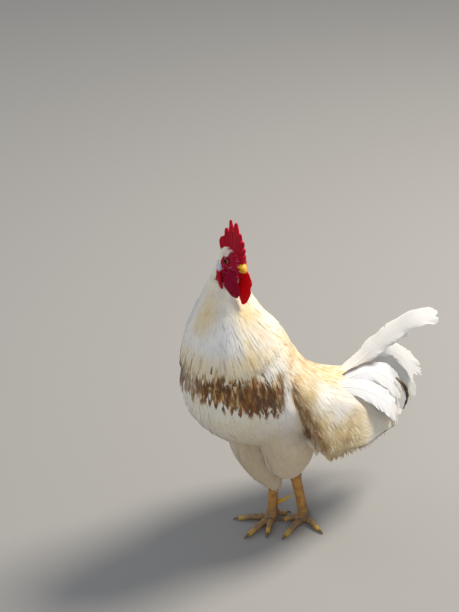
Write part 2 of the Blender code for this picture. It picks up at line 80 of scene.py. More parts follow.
def grain_over(material, scale, detail, strength, distance):
    """A fine, even grain raised all over a material."""
    place = add_node(material, "ShaderNodeTexCoord")
    grain = add_node(material, "ShaderNodeTexNoise", Scale=scale, Detail=detail)
    bump = add_node(material, "ShaderNodeBump", Strength=strength, Distance=distance)
    link(material, (place, "Object", grain, "Vector"), (grain, "Fac", bump, "Height"),
         (bump, "Normal", shader_of(material), "Normal"))


bpy.ops.object.select_all(action="DESELECT")
bpy.ops.mesh.primitive_plane_add(size=16, location=(0, 0, 0))
floor = bpy.context.object
floor.name = "floor"
floor_paint = plain_material("floor_paint", (0.30, 0.292, 0.28), 0.9)
grain_over(floor_paint, 220.0, 4.0, 0.12, 0.0006)
floor.data.materials.append(floor_paint)

daylight = bpy.data.worlds.new("daylight")
daylight.use_nodes = True
set_inputs(daylight.node_tree.nodes["Background"], Color=(0.86, 0.91, 1.0, 1.0), Strength=0.45)
bpy.context.scene.world = daylight


def softbox(name, place, aim, size, power, colour):
    light = bpy.data.lights.new(name, "AREA")
    light.shape = "DISK"
    light.size = size
    light.energy = power
    light.color = colour
    made = bpy.data.objects.new(name, light)
    made.location = place
    made.rotation_euler = (Vector(aim) - Vector(place)).to_track_quat("-Z", "Y").to_euler()
    bpy.context.scene.collection.objects.link(made)


softbox("window_above", (0.40, 1.50, 2.7), (0, 0, 0.25), 1.1, 124, (1.0, 0.93, 0.82))
softbox("window_front", (1.9, -2.2, 1.8), (0, -0.1, 0.25), 2.2, 17, (0.90, 0.95, 1.0))
softbox("window_left", (-2.4, -1.2, 1.9), (0, -0.1, 0.25), 2.0, 16, (0.93, 0.96, 1.0))

camera = bpy.data.objects.new("camera", bpy.data.cameras.new("camera"))
camera.data.lens = 80
camera.data.sensor_width = 36
camera.location = (1.2351, -1.1143, 1.2813)
camera.rotation_euler = (math.radians(60.8), 0, math.radians(52))
bpy.context.scene.collection.objects.link(camera)
bpy.context.scene.camera = camera
bpy.context.scene.view_settings.view_transform = "Standard"

# ---- skin ----------------------------------------------------------------------------------
# One continuous skin from the comb to the thighs. It lies under the plumage by the plumage's
# depth, and it is bare, red and folded at the comb, face, ear lobes and wattles.
COAT_DEPTH = 0.0065
THINNEST = 0.12  # the share of that depth which is left close to the head and the wattles
FLESH_VOXEL = 0.003
SKIN_VOXEL = 0.001
WATTLE_TIPS = 0.405  # the height under which nothing of the head hangs
BODY_NODES = ["trunk", "neck", "thigh_left", "thigh_right", "wing_left", "wing_right", "tail_lower"]
HEAD_NODES = ["head", "comb", "wattle_left", "wattle_right", "earlobe_left", "earlobe_right"]


def middle(node):
    low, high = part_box(node)
    return (low + high) / 2


def unit(vectors):
    return vectors / np.maximum(np.linalg.norm(vectors, axis=-1, keepdims=True), 1e-9)


def merged_copy(name, nodes, swell=0.0):
    """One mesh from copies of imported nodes, each swollen so that neighbours meet."""
    shape = bmesh.new()
    for node in nodes:
        shape.from_mesh(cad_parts[node].data)
    bmesh.ops.remove_doubles(shape, verts=shape.verts, dist=0.00001)
    shape.normal_update()
    for vert in shape.verts:
        vert.co += vert.normal * swell
    mesh = bpy.data.meshes.new(name)
    shape.to_mesh(mesh)
    shape.free()
    made = bpy.data.objects.new(name, mesh)
    bpy.context.scene.collection.objects.link(made)
    return made


def only(obj):
    bpy.ops.object.select_all(action="DESELECT")
    obj.select_set(True)
    bpy.context.view_layer.objects.active = obj


def apply(obj, kind, **settings):
    only(obj)
    modifier = obj.modifiers.new(kind.lower(), kind)
    for key, value in settings.items():
        setattr(modifier, key, value)
    bpy.ops.object.modifier_apply(modifier=modifier.name)


def places(obj, fact="co"):
    flat = np.empty(len(obj.data.vertices) * 3)
    obj.data.vertices.foreach_get(fact, flat)
    return flat.reshape(-1, 3)


def outward(obj):
    return places(obj, "normal")


def set_places(obj, points):
    obj.data.vertices.foreach_set("co", points.ravel())
    obj.data.update()


def edit_only(obj, chosen, tool, rounds=1, **settings):
    """Uses one edit tool, some rounds over, on only the chosen vertices."""
    only(obj)
    bpy.ops.object.mode_set(mode="EDIT")
    bpy.ops.mesh.select_mode(type="VERT")
    bpy.ops.mesh.select_all(action="DESELECT")
    bpy.ops.object.mode_set(mode="OBJECT")
    obj.data.vertices.foreach_set("select", chosen)
    bpy.ops.object.mode_set(mode="EDIT")
    for _ in range(rounds):
        tool(**settings)
    bpy.ops.object.mode_set(mode="OBJECT")


def tree_of(obj):
    return BVHTree.FromPolygons(places(obj).tolist(), [list(p.vertices) for p in obj.data.polygons])


def rise(x, low, high):
    """0 below low, 1 above high, smooth between; falls when high is the lower one."""
    t = np.clip((x - low) / (high - low), 0, 1)
    return t * t * (3 - 2 * t)


def within(x, low, full, full_end, high):
    """1 between the two inner limits, and falling smoothly to 0 at the outer two."""
    return rise(x, low, full) * rise(x, high, full_end)


def patchy(points, size, seed):
    """Soft random patches from 0 to 1, about `size` metres across: a number hashed from each
    corner of a grid, and blended between the corners."""
    grid = points / size + seed * 17.31
    cell = np.floor(grid).astype(np.int64)
    part = grid - cell
    part = part * part * (3 - 2 * part)
    total = np.zeros(len(points))
    for dx, dy, dz in product((0, 1), repeat=3):
        mixed = (cell[:, 0] + dx) * 73856093 ^ (cell[:, 1] + dy) * 19349663
        mixed = mixed ^ (cell[:, 2] + dz) * 83492791 ^ seed * 2654435761
        mixed = (mixed ^ (mixed >> 13)) * 1274126177 & 0x7FFFFFFF
        value = (mixed % 100003) / 100003
        weight = np.abs(1 - dx - part[:, 0]) * np.abs(1 - dy - part[:, 1])
        total += value * weight * np.abs(1 - dz - part[:, 2])
    return total


flesh_surface = merged_copy("flesh_surface", BODY_NODES + HEAD_NODES)
flesh_tree = tree_of(flesh_surface)
bpy.data.objects.remove(flesh_surface)

# The flesh of the body, with a rounder top to each thigh.
under = merged_copy("under", BODY_NODES, swell=0.0004)
for node in ("thigh_left", "thigh_right"):
    low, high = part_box(node)
    thigh_top = ((low.x + high.x) / 2, low.y + 0.030, high.z - 0.010)
    bpy.ops.object.select_all(action="DESELECT")
    bpy.ops.mesh.primitive_uv_sphere_add(location=thigh_top)
    bpy.ops.transform.resize(value=(0.027, 0.038, 0.046))
    bpy.ops.object.transform_apply(location=True, rotation=True, scale=True)
    under.select_set(True)
    bpy.context.view_layer.objects.active = under
    bpy.ops.object.join()
apply(under, "REMESH", mode="VOXEL", voxel_size=FLESH_VOXEL)
apply(under, "SMOOTH", factor=0.6, iterations=16)


def at_wing_top(points):
    """1 along the hollow between the top of each folded wing and the back."""
    x, y, z = points.T
    left = x > 0
    hollow = np.where(left, 0.245 - 0.62 * y, 0.242 - 0.56 * y) - 1.6 * np.maximum(0, y) ** 2
    off_line = np.hypot(np.abs(x) - np.where(left, 0.056, 0.064), z - hollow)
    near = rise(off_line * np.where(left, 1.0, 0.70), 0.026, 0.016)
    return near * rise(np.abs(x), 0.030, 0.040) * rise(np.abs(y), 0.100, 0.080)


# The hollow is bridged, as the saddle feathers hang over the top of the wing. The right wing
# stands further off the back, so it takes more rounds.
for sign, rounds in ((1, 5), (-1, 18)):
    points = places(under)
    chosen = (at_wing_top(points) > 0.3) & (points[:, 0] * sign > 0)
    edit_only(under, chosen, bpy.ops.mesh.vertices_smooth, rounds, factor=0.6, repeat=20)

# The skin lies under the coat by its depth, but never by more than 0.3 of the flesh behind it.
under_tree = tree_of(under)
points = places(under)
normals = outward(under)
depth = np.empty(len(points))
for n, (point, normal) in enumerate(zip(points, normals)):
    start = Vector(point) - Vector(normal) * 0.001
    hit = under_tree.ray_cast(start, -Vector(normal))
    depth[n] = min(COAT_DEPTH, 0.30 * hit[3]) if hit[0] else COAT_DEPTH
depth *= THINNEST + (1 - THINNEST) * rise(points[:, 2], 0.450, 0.375)
set_places(under, points - normals * depth[:, None])
apply(under, "SMOOTH", factor=0.6, iterations=6)

skin = merged_copy("skin", HEAD_NODES, swell=0.0003)
only(skin)
under.select_set(True)
bpy.ops.object.join()
apply(skin, "REMESH", mode="VOXEL", voxel_size=SKIN_VOXEL)

# The head's own axes, from the two eyes: forward along the beak, left, and up.
eye_left = middle("eye_left")
eye_right = middle("eye_right")
head_left = (eye_left - eye_right).normalized()
head_forward = head_left.cross(Vector((0, 0, 1))).normalized()
head_middle = (eye_left + eye_right) / 2
head_axes = np.array([head_forward, head_left, Vector((0, 0, 1))])


def in_head(points):
    """Places along the head's forward, left and up, from the point between the eyes."""
    return (points - np.array(head_middle)) @ head_axes.T


def gap_to(points, nodes):
    """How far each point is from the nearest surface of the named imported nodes."""
    copy = merged_copy("probe", nodes)
    tree = tree_of(copy)
    bpy.data.objects.remove(copy)
    return np.array([tree.find_nearest(Vector(p))[3] for p in points])


def feathered(points):
    """1 where the head carries feathers and 0 on its bare red skin."""
    f, side, z = in_head(points).T
    side = np.abs(side)
    ragged = 0.0034 * (patchy(points, 0.0018, 8) - 0.5)
    brow = z + ragged + 1.7 * np.maximum(0, -0.0052 - f)
    crown = rise(brow, 0.0046, 0.0060) * rise(f + ragged, 0.0020, -0.0006) * rise(z, 0.0130, 0.0108)
    nape = rise(f - 0.30 * np.minimum(z + 0.014, 0), -0.0120, -0.0160)
    bare_throat = rise(side, 0.0085, 0.0065) * rise(f, -0.012, -0.007) * rise(z, -0.056, -0.048)
    throat = rise(z + 0.25 * f, -0.036, -0.041) * (1 - bare_throat)
    return np.clip(crown + nape + throat, 0, 1)


# The nape runs smoothly into the neck.
COLLAR = (0.406, 0.466)
points = places(skin)
collar = (points[:, 2] > COLLAR[0]) & (points[:, 2] < COLLAR[1]) & (feathered(points) > 0.9)
collar &= gap_to(points, HEAD_NODES[1:]) > 0.0025
edit_only(skin, collar, bpy.ops.mesh.vertices_smooth, 6, factor=0.6, repeat=20)

# Away from the head and wattles the skin is hidden by the coat, so it gets larger faces there,
# and smaller ones where it is bare.
HIDDEN_TOP = 0.428
HIDDEN_SHARE = 0.055
points = places(skin)
hidden = points[:, 2] < HIDDEN_TOP
hanging = points[:, 2] > 0.412
hidden[hanging] &= gap_to(points[hanging], HEAD_NODES[2:4]) > 0.0035
edit_only(skin, hidden, bpy.ops.mesh.decimate, ratio=HIDDEN_SHARE)
points = places(skin)
bare_zone = (points[:, 2] > WATTLE_TIPS) & (feathered(points) < 0.6)
edit_only(skin, bare_zone, bpy.ops.mesh.subdivide, number_cuts=1, smoothness=0)
apply(skin, "SMOOTH", factor=0.5, iterations=2)

# The eyelids: the skin opens in an oval over each eyeball, with a raised rim and rings round it.
EYE_RADIUS = 0.0047
LID_OPENING = 0.0035
LID_EDGE = 0.0042
LID_REACH = 0.0088


def gaze_to(side):
    """The way an eye looks: outwards and a little ahead."""
    return (head_left * side + head_forward * 0.30).normalized()


points = places(skin)
for eye_middle, side in ((eye_left, 1), (eye_right, -1)):
    gaze = gaze_to(side)
    ahead = (head_forward - gaze * head_forward.dot(gaze)).normalized()
    above = gaze.cross(ahead) * side
    if above.z < 0:
        above = -above
    eye_axes = np.array([ahead, above, gaze])
    across, up, high = ((points - np.array(eye_middle)) @ eye_axes.T).T
    ring = np.hypot(across / 1.10, (up + 0.05 * np.abs(across)) / 0.88)
    near = (ring < LID_REACH) & (high > -0.004) & (high < 0.010)
    ball = np.sqrt(np.maximum(EYE_RADIUS ** 2 - across ** 2 - up ** 2, 0))
    rim = ball + 0.00035 + 0.00035 * np.exp(-((ring - LID_EDGE) / 0.0006) ** 2)
    lid = np.where(ring < LID_OPENING, 0.0008, rim)
    lid = lid - 0.0003 * within(ring, 0.0046, 0.0052, 0.0056, 0.0062)
    lid = lid + 0.00022 * np.cos((ring - 0.0044) / 0.0011 * math.pi) * rise(ring, LID_EDGE, 0.0050)
    hold = rise(ring, 0.0086, 0.0056) * near
    high = high * (1 - hold) + np.where(near, lid, high) * hold
    points = np.stack([across, up, high], axis=1) @ eye_axes + np.array(eye_middle)
set_places(skin, points)

# The relief: grains and upright folds on the comb, creases on the wattles, pebbles on the face,
# and a groove down from each notch between the comb's points.
COMB_NOTCHES = ((0.0222, 0.0150), (0.0204, 0.0236), (0.0157, 0.0306), (0.0102, 0.0356),
                (-0.0038, 0.0352), (-0.0133, 0.0276), (-0.0205, 0.0245))


def beside(points, start, end):
    """How far each point is along a line, from 0 to 1, and how far it is off the line."""
    way = end - start
    t = np.clip((points - start) @ way / (way @ way), 0, 1)
    return t, np.linalg.norm(points - start - t[:, None] * way, axis=1)


near_head = points[:, 2] > WATTLE_TIPS
gaps = np.full((4, len(points)), 0.1)
for row, nodes in enumerate((["head", "neck"], ["comb"], HEAD_NODES[2:4], HEAD_NODES[4:])):
    gaps[row, near_head] = gap_to(points[near_head], nodes)
f, side, z = in_head(points).T
nearest = np.argmin(gaps, axis=0)
on_comb = (nearest == 1) & near_head
on_wattle = near_head & ((nearest == 2) | (gaps[2] < 0.0028))
on_lobe = near_head & ~on_wattle & ((nearest == 3) | (gaps[3] < 0.0010))
plumed = np.where(near_head, feathered(points), 1.0)
plumed[on_comb | on_wattle | on_lobe] = 0.0
on_face = near_head & (plumed < 0.5) & ~on_comb & ~on_wattle & ~on_lobe
eye_ring = np.hypot(f / 1.1, z / 0.88)
grain = patchy(points, 0.0009, 3) - 0.5
pebble = patchy(points, 0.0016, 4) - 0.5
fold = patchy(points * (1, 1, 0.28), 0.0023, 5) - 0.5
crease = patchy(points * (1, 1, 0.45), 0.0030, 6) - 0.5
cheek = np.sin((z * 0.9 - f * 0.45 + 0.0060 * (patchy(points, 0.005, 7) - 0.5)) / 0.0026 * math.pi)
cheek = cheek * rise(patchy(points, 0.0055, 9), 0.35, 0.75)
groove = np.zeros(len(points))
for notch in COMB_NOTCHES:
    foot_of_groove = np.array((notch[0] * 0.62, 0.011))
    t, off_line = beside(np.stack([f, z], axis=1), np.array(notch), foot_of_groove)
    groove = np.maximum(groove, np.exp(-(off_line / 0.0007) ** 2) * (1 - 0.75 * t))
relief = on_comb * (0.00075 * fold + 0.00022 * grain - 0.00075 * groove)
relief += on_wattle * (0.00130 * crease + 0.00028 * grain)
relief += on_lobe * (0.00040 * pebble + 0.00018 * grain)
away = rise(eye_ring, LID_EDGE, 0.0075)
relief += on_face * away * (0.00045 * pebble + 0.00020 * grain + 0.00022 * cheek)
relief -= 0.0009 * plumed * near_head
# The wattles hang close together, the left one slightly inwards and behind the right.
inwards = np.where(side > 0, -0.0030, 0.0014) * rise(gaps[2], 0.006, 0.001) * rise(z, -0.024, -0.040)
points = points + outward(skin) * relief[:, None] + inwards[:, None] * np.array(head_left)
set_places(skin, points)

# The plumage's markings, shared by the skin and every feather: cream and white over all, straw on
# the hackle, gold on the back, olive and brown streaks over the wing, a brown band on the breast.
# Painted shade goes in too: grey under the wattles and over the wing, beige under the wattles and on
# the belly.
WHITE = np.array((0.86, 0.85, 0.82))
CREAM = np.array((0.87, 0.76, 0.52))
# A grey laid over the white plumage as painted shade.
SHADE_GREY = np.array((0.62, 0.62, 0.63))
STRAW = np.array((0.78, 0.57, 0.23))
GOLD = np.array((0.70, 0.38, 0.11))
OLIVE = np.array((0.44, 0.32, 0.12))
BEIGE = np.array((0.58, 0.45, 0.28))
BROWN = np.array((0.24, 0.090, 0.016))
DARK = np.array((0.075, 0.035, 0.018))
COMB_RED = np.array((0.50, 0.001, 0.020))
# The left wattle's red, painted brighter as if the sun shone through it: painted light.
WATTLE_SUNLIT_RED = np.array((0.70, 0.001, 0.003))
FACE_RED = np.array((0.38, 0.005, 0.030))
FACE_PINK = np.array((0.56, 0.16, 0.22))
LOBE_WHITE = np.array((0.62, 0.60, 0.66))


def all_over(colour, points):
    """One colour at every point."""
    return np.tile(colour, (len(points), 1))


def blend(base, colour, amount):
    return base + (colour - base) * np.clip(amount, 0, 1)[:, None]


def around(values, middle_at, reach):
    """1 at the middle, falling softly to 0 at about twice the reach."""
    return np.exp(-((values - middle_at) / reach) ** 2)


def breast_band(points, luck):
    """1 inside the brown band that crosses the breast from one shoulder to the other."""
    y = points[:, 1] + 0.006 * (patchy(points, 0.018, 11) - 0.5)
    z = points[:, 2] + 0.020 * (patchy(points * (1, 1, 0.4), 0.006, 12) - 0.5) + 0.022 * (luck - 0.5)
    lower = 0.295 - 0.40 * (y + 0.215)
    upper = 0.332 - 0.12 * (y + 0.215)
    inside = within(z, lower - 0.003, lower + 0.006, upper - 0.008, upper + 0.008)
    fading = 0.55 + 0.45 * rise(np.abs(points[:, 0]), 0.008, 0.026)
    return inside * rise(y, -0.110, -0.124) * fading


def plumage(points, chance, along, across):
    """The colour at each point. `chance` is each feather's own three random numbers, `along` goes
    from its root to its tip, and `across` is 0 at its quill and 1 at its rims."""
    x, y, z = points.T
    side = np.abs(x)
    luck_a, luck_b, luck_c = chance.T
    inner = (1 - np.abs(across)) ** 1.5 * rise(along, 0.05, 0.55)
    colour = blend(all_over(CREAM, points), WHITE, 0.20 + 0.60 * patchy(points, 0.03, 21))
    # Hackle: white with straw streaks, straw down the front and under the wattles, and a painted
    # shadow of the wattles on the neck.
    neck = rise(z, 0.33, 0.36)
    colour = blend(colour, WHITE, neck * rise(y, -0.160, -0.185) * 0.7)
    strand = rise(patchy(points * (1, 1, 0.35), 0.010, 22), 0.50, 0.80)
    colour = blend(colour, STRAW, neck * strand * (0.25 + 0.45 * luck_a) * rise(y, -0.190, -0.150))
    straw_front = around(side, 0.0, 0.018) * rise(y, -0.160, -0.185) * rise(z, 0.365, 0.395)
    straw_side = around(side, 0.031, 0.012) * around(y, -0.146, 0.016) * rise(z, 0.365, 0.395)
    colour = blend(colour, STRAW, (0.85 * straw_front + 0.85 * straw_side) * (0.6 + 0.4 * luck_b))
    # Painted shadow of the wattles on the neck, in grey.
    shade = around(side, 0.034, 0.013) * around(y, -0.180, 0.016) * rise(z, 0.350, 0.380)
    colour = blend(colour, SHADE_GREY, shade * 0.8)
    # A second painted shadow under the wattles, in beige.
    below = around(side, 0.047, 0.013) * around(y, -0.132, 0.018) * rise(z, 0.350, 0.375)
    colour = blend(colour, BEIGE, below * (0.30 + 0.30 * luck_c))
    # Back and saddle: straw with gold streaks.
    back = within(z, 0.205, 0.235, 0.345, 0.375) * rise(y, -0.120, -0.090) * rise(side, 0.080, 0.060)
    colour = blend(colour, STRAW, back * (0.25 + 0.40 * luck_a))
    colour = blend(colour, GOLD, back * (0.25 + 0.75 * inner) * rise(luck_b, 0.45, 0.68) * 0.95)
    # Wing: grey painted shade over all of it, and hanging strands of olive, straw and cream behind a
    # brown front edge that is partly painted shade.
    edge = y + 0.100 - (0.285 - z) * 0.42
    wing = within(z, 0.118, 0.140, 0.265, 0.290) * rise(edge, -0.002, 0.008)
    wing = wing * rise(side, 0.036, 0.052) * rise(y, 0.085, 0.030)
    strands = np.maximum(rise(y, -0.015, -0.050), rise(z, 0.222, 0.188)) * wing
    # Painted shade: grey over the whole wing.
    colour = blend(colour, SHADE_GREY, wing * 0.65)
    colour = blend(colour, STRAW, strands * (0.35 + 0.40 * luck_a))
    olive = rise(luck_c, 0.25, 0.60) * (0.50 + 0.50 * inner) * rise(y, 0.060, 0.010)
    colour = blend(colour, OLIVE, strands * olive)
    hanging = rise(patchy(points * (1, 0.9, 0.28), 0.0060, 44), 0.50, 0.72)
    colour = blend(colour, OLIVE, strands * hanging * rise(y, 0.050, 0.000) * 0.60)
    shoulder = around(y, -0.040, 0.018) * around(z, 0.248, 0.017) * (side > 0.05)
    colour = blend(colour, WHITE, shoulder * 0.9)
    # The brown front edge of the wing: partly brown feathers and partly painted shade where the wing
    # meets the breast.
    leading = within(edge, -0.004, 0.002, 0.008, 0.024) * within(z, 0.160, 0.178, 0.285, 0.305)
    leading = leading * (side > 0.055)
    colour = blend(colour, BROWN, leading * (0.25 + 0.60 * rise(luck_b, 0.2, 0.6)))
    tongue = within(edge, -0.045, -0.034, -0.009, -0.004) * within(z, 0.180, 0.200, 0.300, 0.325)
    tongue = tongue * (side > 0.05) * rise(y, -0.121, -0.114)
    colour = blend(colour, WHITE, tongue)
    spot = around(y, -0.002, 0.005) * around(z, 0.172, 0.007) * (side > 0.06)
    colour = blend(colour, BROWN, spot * 0.8)
    # Belly and thighs: beige towards the legs, partly the coat's own beige and partly painted shade
    # on the undersides.
    colour = blend(colour, BEIGE, rise(z, 0.285, 0.170) * rise(edge, 0.004, -0.006) * 0.85)
    # Breast: a mottled wash over the brown band with its hanging, ragged tips.
    wash = within(z, 0.320, 0.335, 0.350, 0.372) * rise(y, -0.125, -0.140)
    colour = blend(colour, STRAW, 0.50 * wash * rise(luck_c, 0.1, 0.7))
    colour = blend(colour, BROWN, 0.55 * wash * inner * rise(luck_a, 0.80, 0.90))
    pale = around(y, -0.136, 0.014) * around(z, 0.330, 0.012) * (side > 0.05)
    colour = blend(colour, WHITE, 0.8 * pale)
    band = breast_band(points, luck_c)
    colour = blend(colour, STRAW * (0.80, 0.66, 0.50), 0.92 * band)
    streak = patchy(points * (1, 1, 0.22), 0.0034, 41) + 0.45 * (luck_a - 0.5)
    colour = blend(colour, BROWN, band * rise(streak, 0.22, 0.52))
    streak = patchy(points * (1, 1, 0.22), 0.0046, 43) + 0.45 * (luck_b - 0.5)
    streak = streak + 0.22 * rise(-y, 0.180, 0.145) * rise(z, 0.305, 0.280)
    colour = blend(colour, DARK, band * rise(streak, 0.42, 0.66) * rise(along, 0.1, 0.5) * 0.75)
    # Crown: pink skin shows between the small feathers over the eyes.
    f, _, height = in_head(points).T
    crown = rise(height, 0.002, 0.007) * rise(f, -0.016, -0.006)
    colour = blend(colour, FACE_PINK, crown * (0.16 + 0.28 * luck_a))
    return colour * (0.95 + 0.08 * luck_b[:, None])


def paint(obj, name, values):
    layer = obj.data.attributes.new(name, "FLOAT_COLOR", "POINT")
    filled = np.ones((len(values), 4), np.float32)
    filled[:, :3] = values
    layer.data.foreach_set("color", filled.ravel())


points = places(skin)
f, side, z = in_head(points).T
own = np.stack([patchy(points, 0.008, 31), patchy(points, 0.007, 32), patchy(points, 0.006, 33)], 1)
tint = plumage(points, own, np.full(len(points), 0.6), np.full(len(points), 0.5))
dusky = 0.30 * patchy(points * (1, 1, 0.4), 0.003, 34)
red = blend(all_over(COMB_RED, points), DARK * (1.6, 0.1, 0.3), dusky)
# The grooves down the comb are painted darker: painted shade in the grooves.
red = blend(red, DARK * (1.2, 0.1, 0.3), 0.7 * groove * on_comb)
# The wattles are painted darker in their creases: painted shade in the folds.
red = blend(red, DARK * (1.6, 0.1, 0.4), 0.40 * rise(crease, -0.02, -0.30) * on_wattle)
face = blend(all_over(FACE_RED, points), FACE_PINK, on_face * rise(cheek, 0.25, 1.0) * 0.75)
face = blend(face, FACE_RED * 0.45, rise(patchy(points, 0.0022, 35), 0.55, 0.85) * 0.6)
tint = blend(tint, face, (1 - plumed) * on_face)
# Painted light and shade on the wattles: the left one a brighter red as if sunlit, the right one a
# darker red as if in shade.
red = blend(red, WATTLE_SUNLIT_RED, on_wattle * rise(side, -0.002, 0.003) * 0.85)
red = blend(red, COMB_RED * (0.52, 1.0, 1.2), on_wattle * rise(side, 0.003, -0.002))
tint = blend(tint, red, on_comb | on_wattle | on_lobe)
tint = blend(tint, LOBE_WHITE, on_lobe * rise(z, -0.0185, -0.0155))
# A dark ring along the lid rim round each eye: painted shade where the lid meets the ball.
lid_edge = np.exp(-((eye_ring - 0.0041) / 0.0007) ** 2) * on_face
tint = blend(tint, DARK, 0.6 * lid_edge)
paint(skin, "tint", tint)


def tinted_material(name, colour, roughness, **inputs):
    """A material that takes its colour from the tint painted on each point."""
    made = plain_material(name, colour, roughness, **inputs)
    tint = add_node(made, "ShaderNodeAttribute")
    tint.attribute_name = "tint"
    link(made, (tint, "Color", shader_of(made), "Base Color"))
    return made


def smooth_all(obj):
    obj.data.polygons.foreach_set("use_smooth", [True] * len(obj.data.polygons))


bare_skin = tinted_material(
    "bare_skin", COMB_RED, 0.42, Subsurface_Weight=0.18, Subsurface_Radius=(1.0, 0.25, 0.15),
    Subsurface_Scale=0.0018, Specular_IOR_Level=0.09)
grain_over(bare_skin, 2600.0, 3.0, 0.35, 0.00025)
down = tinted_material("down", CREAM, 0.9)

skin.data.materials.clear()
skin.data.materials.append(bare_skin)
skin.data.materials.append(down)
kinds = [1 if np.mean(plumed[list(p.vertices)]) > 0.5 else 0 for p in skin.data.polygons]
skin.data.polygons.foreach_set("material_index", kinds)
smooth_all(skin)
only(skin)
bpy.ops.object.mode_set(mode="EDIT")
bpy.ops.mesh.select_all(action="SELECT")
bpy.ops.uv.smart_project(angle_limit=math.radians(66), island_margin=0.001)
bpy.ops.object.mode_set(mode="OBJECT")
skin.data.uv_layers[0].name = "OFBake"
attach(skin, "root")
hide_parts(*BODY_NODES, *HEAD_NODES)

# ---- plumage -------------------------------------------------------------------------------
# Every feather is a thin closed vane with a raised quill. It grows from the skin, follows the lie
# of the coat, and lifts towards its tip, so that each row covers the roots of the next.
VANE_THICK = 0.00016
QUILL_CUP = 0.05
BAKE_PATCH = 0.0014
STUB = 0.002  # the length of a feather that finds no way on from its root
STEP = 0.004  # from point to point of a feather's way over the skin
HEM_TOP = 0.20  # the height under which the tips of the coat may hang free
LEAST_HANG = 0.002
SHARPEST = 0.70  # the cosine of the turn from which the skin falls away from under a feather
DROOP = Vector((0, 0, -0.10))  # how a feather's way turns down over one step where it hangs free
ROOT_LIFT = 0.64  # how far up the coat's depth a feather lies at its root
# Each guide: its place, the way the feathers lie there, and their length and width in mm.
LIE = (
    ((0.000, -0.165, 0.445), (0.00, -0.20, -1.0), 11, 2.6),
    ((0.016, -0.148, 0.450), (0.20, 0.00, -1.0), 13, 2.6),
    ((0.000, -0.132, 0.450), (0.00, 0.30, -1.0), 17, 2.8),
    ((0.000, -0.190, 0.400), (0.00, -0.15, -1.0), 42, 4.6),
    ((0.040, -0.150, 0.400), (0.30, 0.10, -1.0), 52, 4.6),
    ((0.000, -0.110, 0.395), (0.00, 0.55, -0.9), 62, 5.0),
    ((0.062, -0.130, 0.350), (0.10, 0.35, -1.0), 44, 5.6),
    ((0.045, -0.080, 0.335), (0.15, 0.70, -0.8), 62, 5.6),
    ((0.000, -0.205, 0.350), (0.00, -0.02, -1.0), 26, 6.6),
    ((0.000, -0.050, 0.315), (0.00, 0.85, -0.6), 60, 6.0),
    ((0.000, 0.000, 0.262), (0.00, 1.00, -0.3), 56, 6.0),
    ((0.000, 0.060, 0.228), (0.00, 1.00, 0.05), 50, 6.4),
    ((0.045, -0.020, 0.262), (0.25, 0.65, -0.8), 60, 5.8),
    ((0.040, 0.040, 0.222), (0.25, 0.75, -0.7), 56, 6.0),
    ((0.076, -0.075, 0.250), (0.05, 0.33, -1.0), 48, 4.6),
    ((0.080, -0.020, 0.195), (0.00, 0.45, -0.9), 46, 4.6),
    ((0.060, 0.060, 0.170), (-0.10, 0.75, -0.7), 42, 5.0),
    ((0.042, 0.125, 0.135), (-0.15, 0.80, -0.6), 36, 4.6),
    ((0.000, -0.215, 0.300), (0.00, 0.05, -1.0), 23, 9.0),
    ((0.050, -0.180, 0.310), (0.02, 0.15, -1.0), 23, 9.0),
    ((0.068, -0.130, 0.280), (0.00, 0.30, -1.0), 25, 9.5),
    ((0.000, -0.190, 0.235), (0.00, 0.50, -0.8), 26, 10.0),
    ((0.050, -0.140, 0.210), (0.00, 0.55, -0.8), 26, 10.0),
    ((0.000, -0.130, 0.185), (0.00, 0.75, -0.5), 28, 10.0),
    ((0.000, 0.000, 0.140), (0.00, 0.90, -0.3), 30, 10.0),
    ((0.000, 0.100, 0.150), (0.00, 0.80, -0.4), 30, 10.0),
    ((0.066, -0.080, 0.165), (-0.05, 0.20, -1.0), 24, 9.0),
    ((0.030, -0.070, 0.110), (0.00, 0.10, -1.0), 19, 6.5),
)
# On the head: the place forward, left and up of the eyes, and the lie in the same directions.
HEAD_LIE = (
    ((-0.002, 0.010, 0.012), (-1.0, 0.0, -0.25), 3.4, 1.3),
    ((-0.016, 0.000, 0.011), (-0.8, 0.0, -0.60), 4.6, 1.5),
    ((-0.022, 0.006, 0.000), (-0.4, 0.0, -1.00), 6.0, 1.8),
    ((-0.019, 0.012, -0.018), (-0.3, 0.1, -1.00), 6.5, 1.9),
    ((-0.002, 0.006, -0.028), (-0.2, 0.1, -1.00), 7.0, 2.0),
)


def guides():
    """Every guide of the lie, on both sides: place, way, length, width and how far it reaches."""
    found = []
    for (x, y, z), way, length, width in LIE:
        for turn in ((1, -1) if x else (1,)):
            found.append(((x * turn, y, z), (way[0] * turn, *way[1:]), length, width, 0.024, 1))
    for (f, side, z), (ahead, aside, up), length, width in HEAD_LIE:
        for turn in ((1, -1) if side else (1,)):
            place = np.array(head_middle) + np.array((f, side * turn, z)) @ head_axes
            way = np.array((ahead, aside * turn, up)) @ head_axes
            found.append((tuple(place), tuple(way), length, width, 0.008, 8))
    return found


def lie_at(points):
    """The lie, length and width of the plumage at each point."""
    total = np.zeros((len(points), 5))
    weights = np.zeros(len(points))
    for place, way, length, width, reach, pull in guides():
        apart = np.sum((points - np.array(place)) ** 2, axis=1)
        weight = pull * np.exp(-apart / (2 * reach ** 2)) + 1e-9
        facts = np.array((*(np.array(way) / np.linalg.norm(way)), length / 1000, width / 1000))
        total += weight[:, None] * facts
        weights += weight
    total /= weights[:, None]
    return unit(total[:, :3]), total[:, 3], total[:, 4]


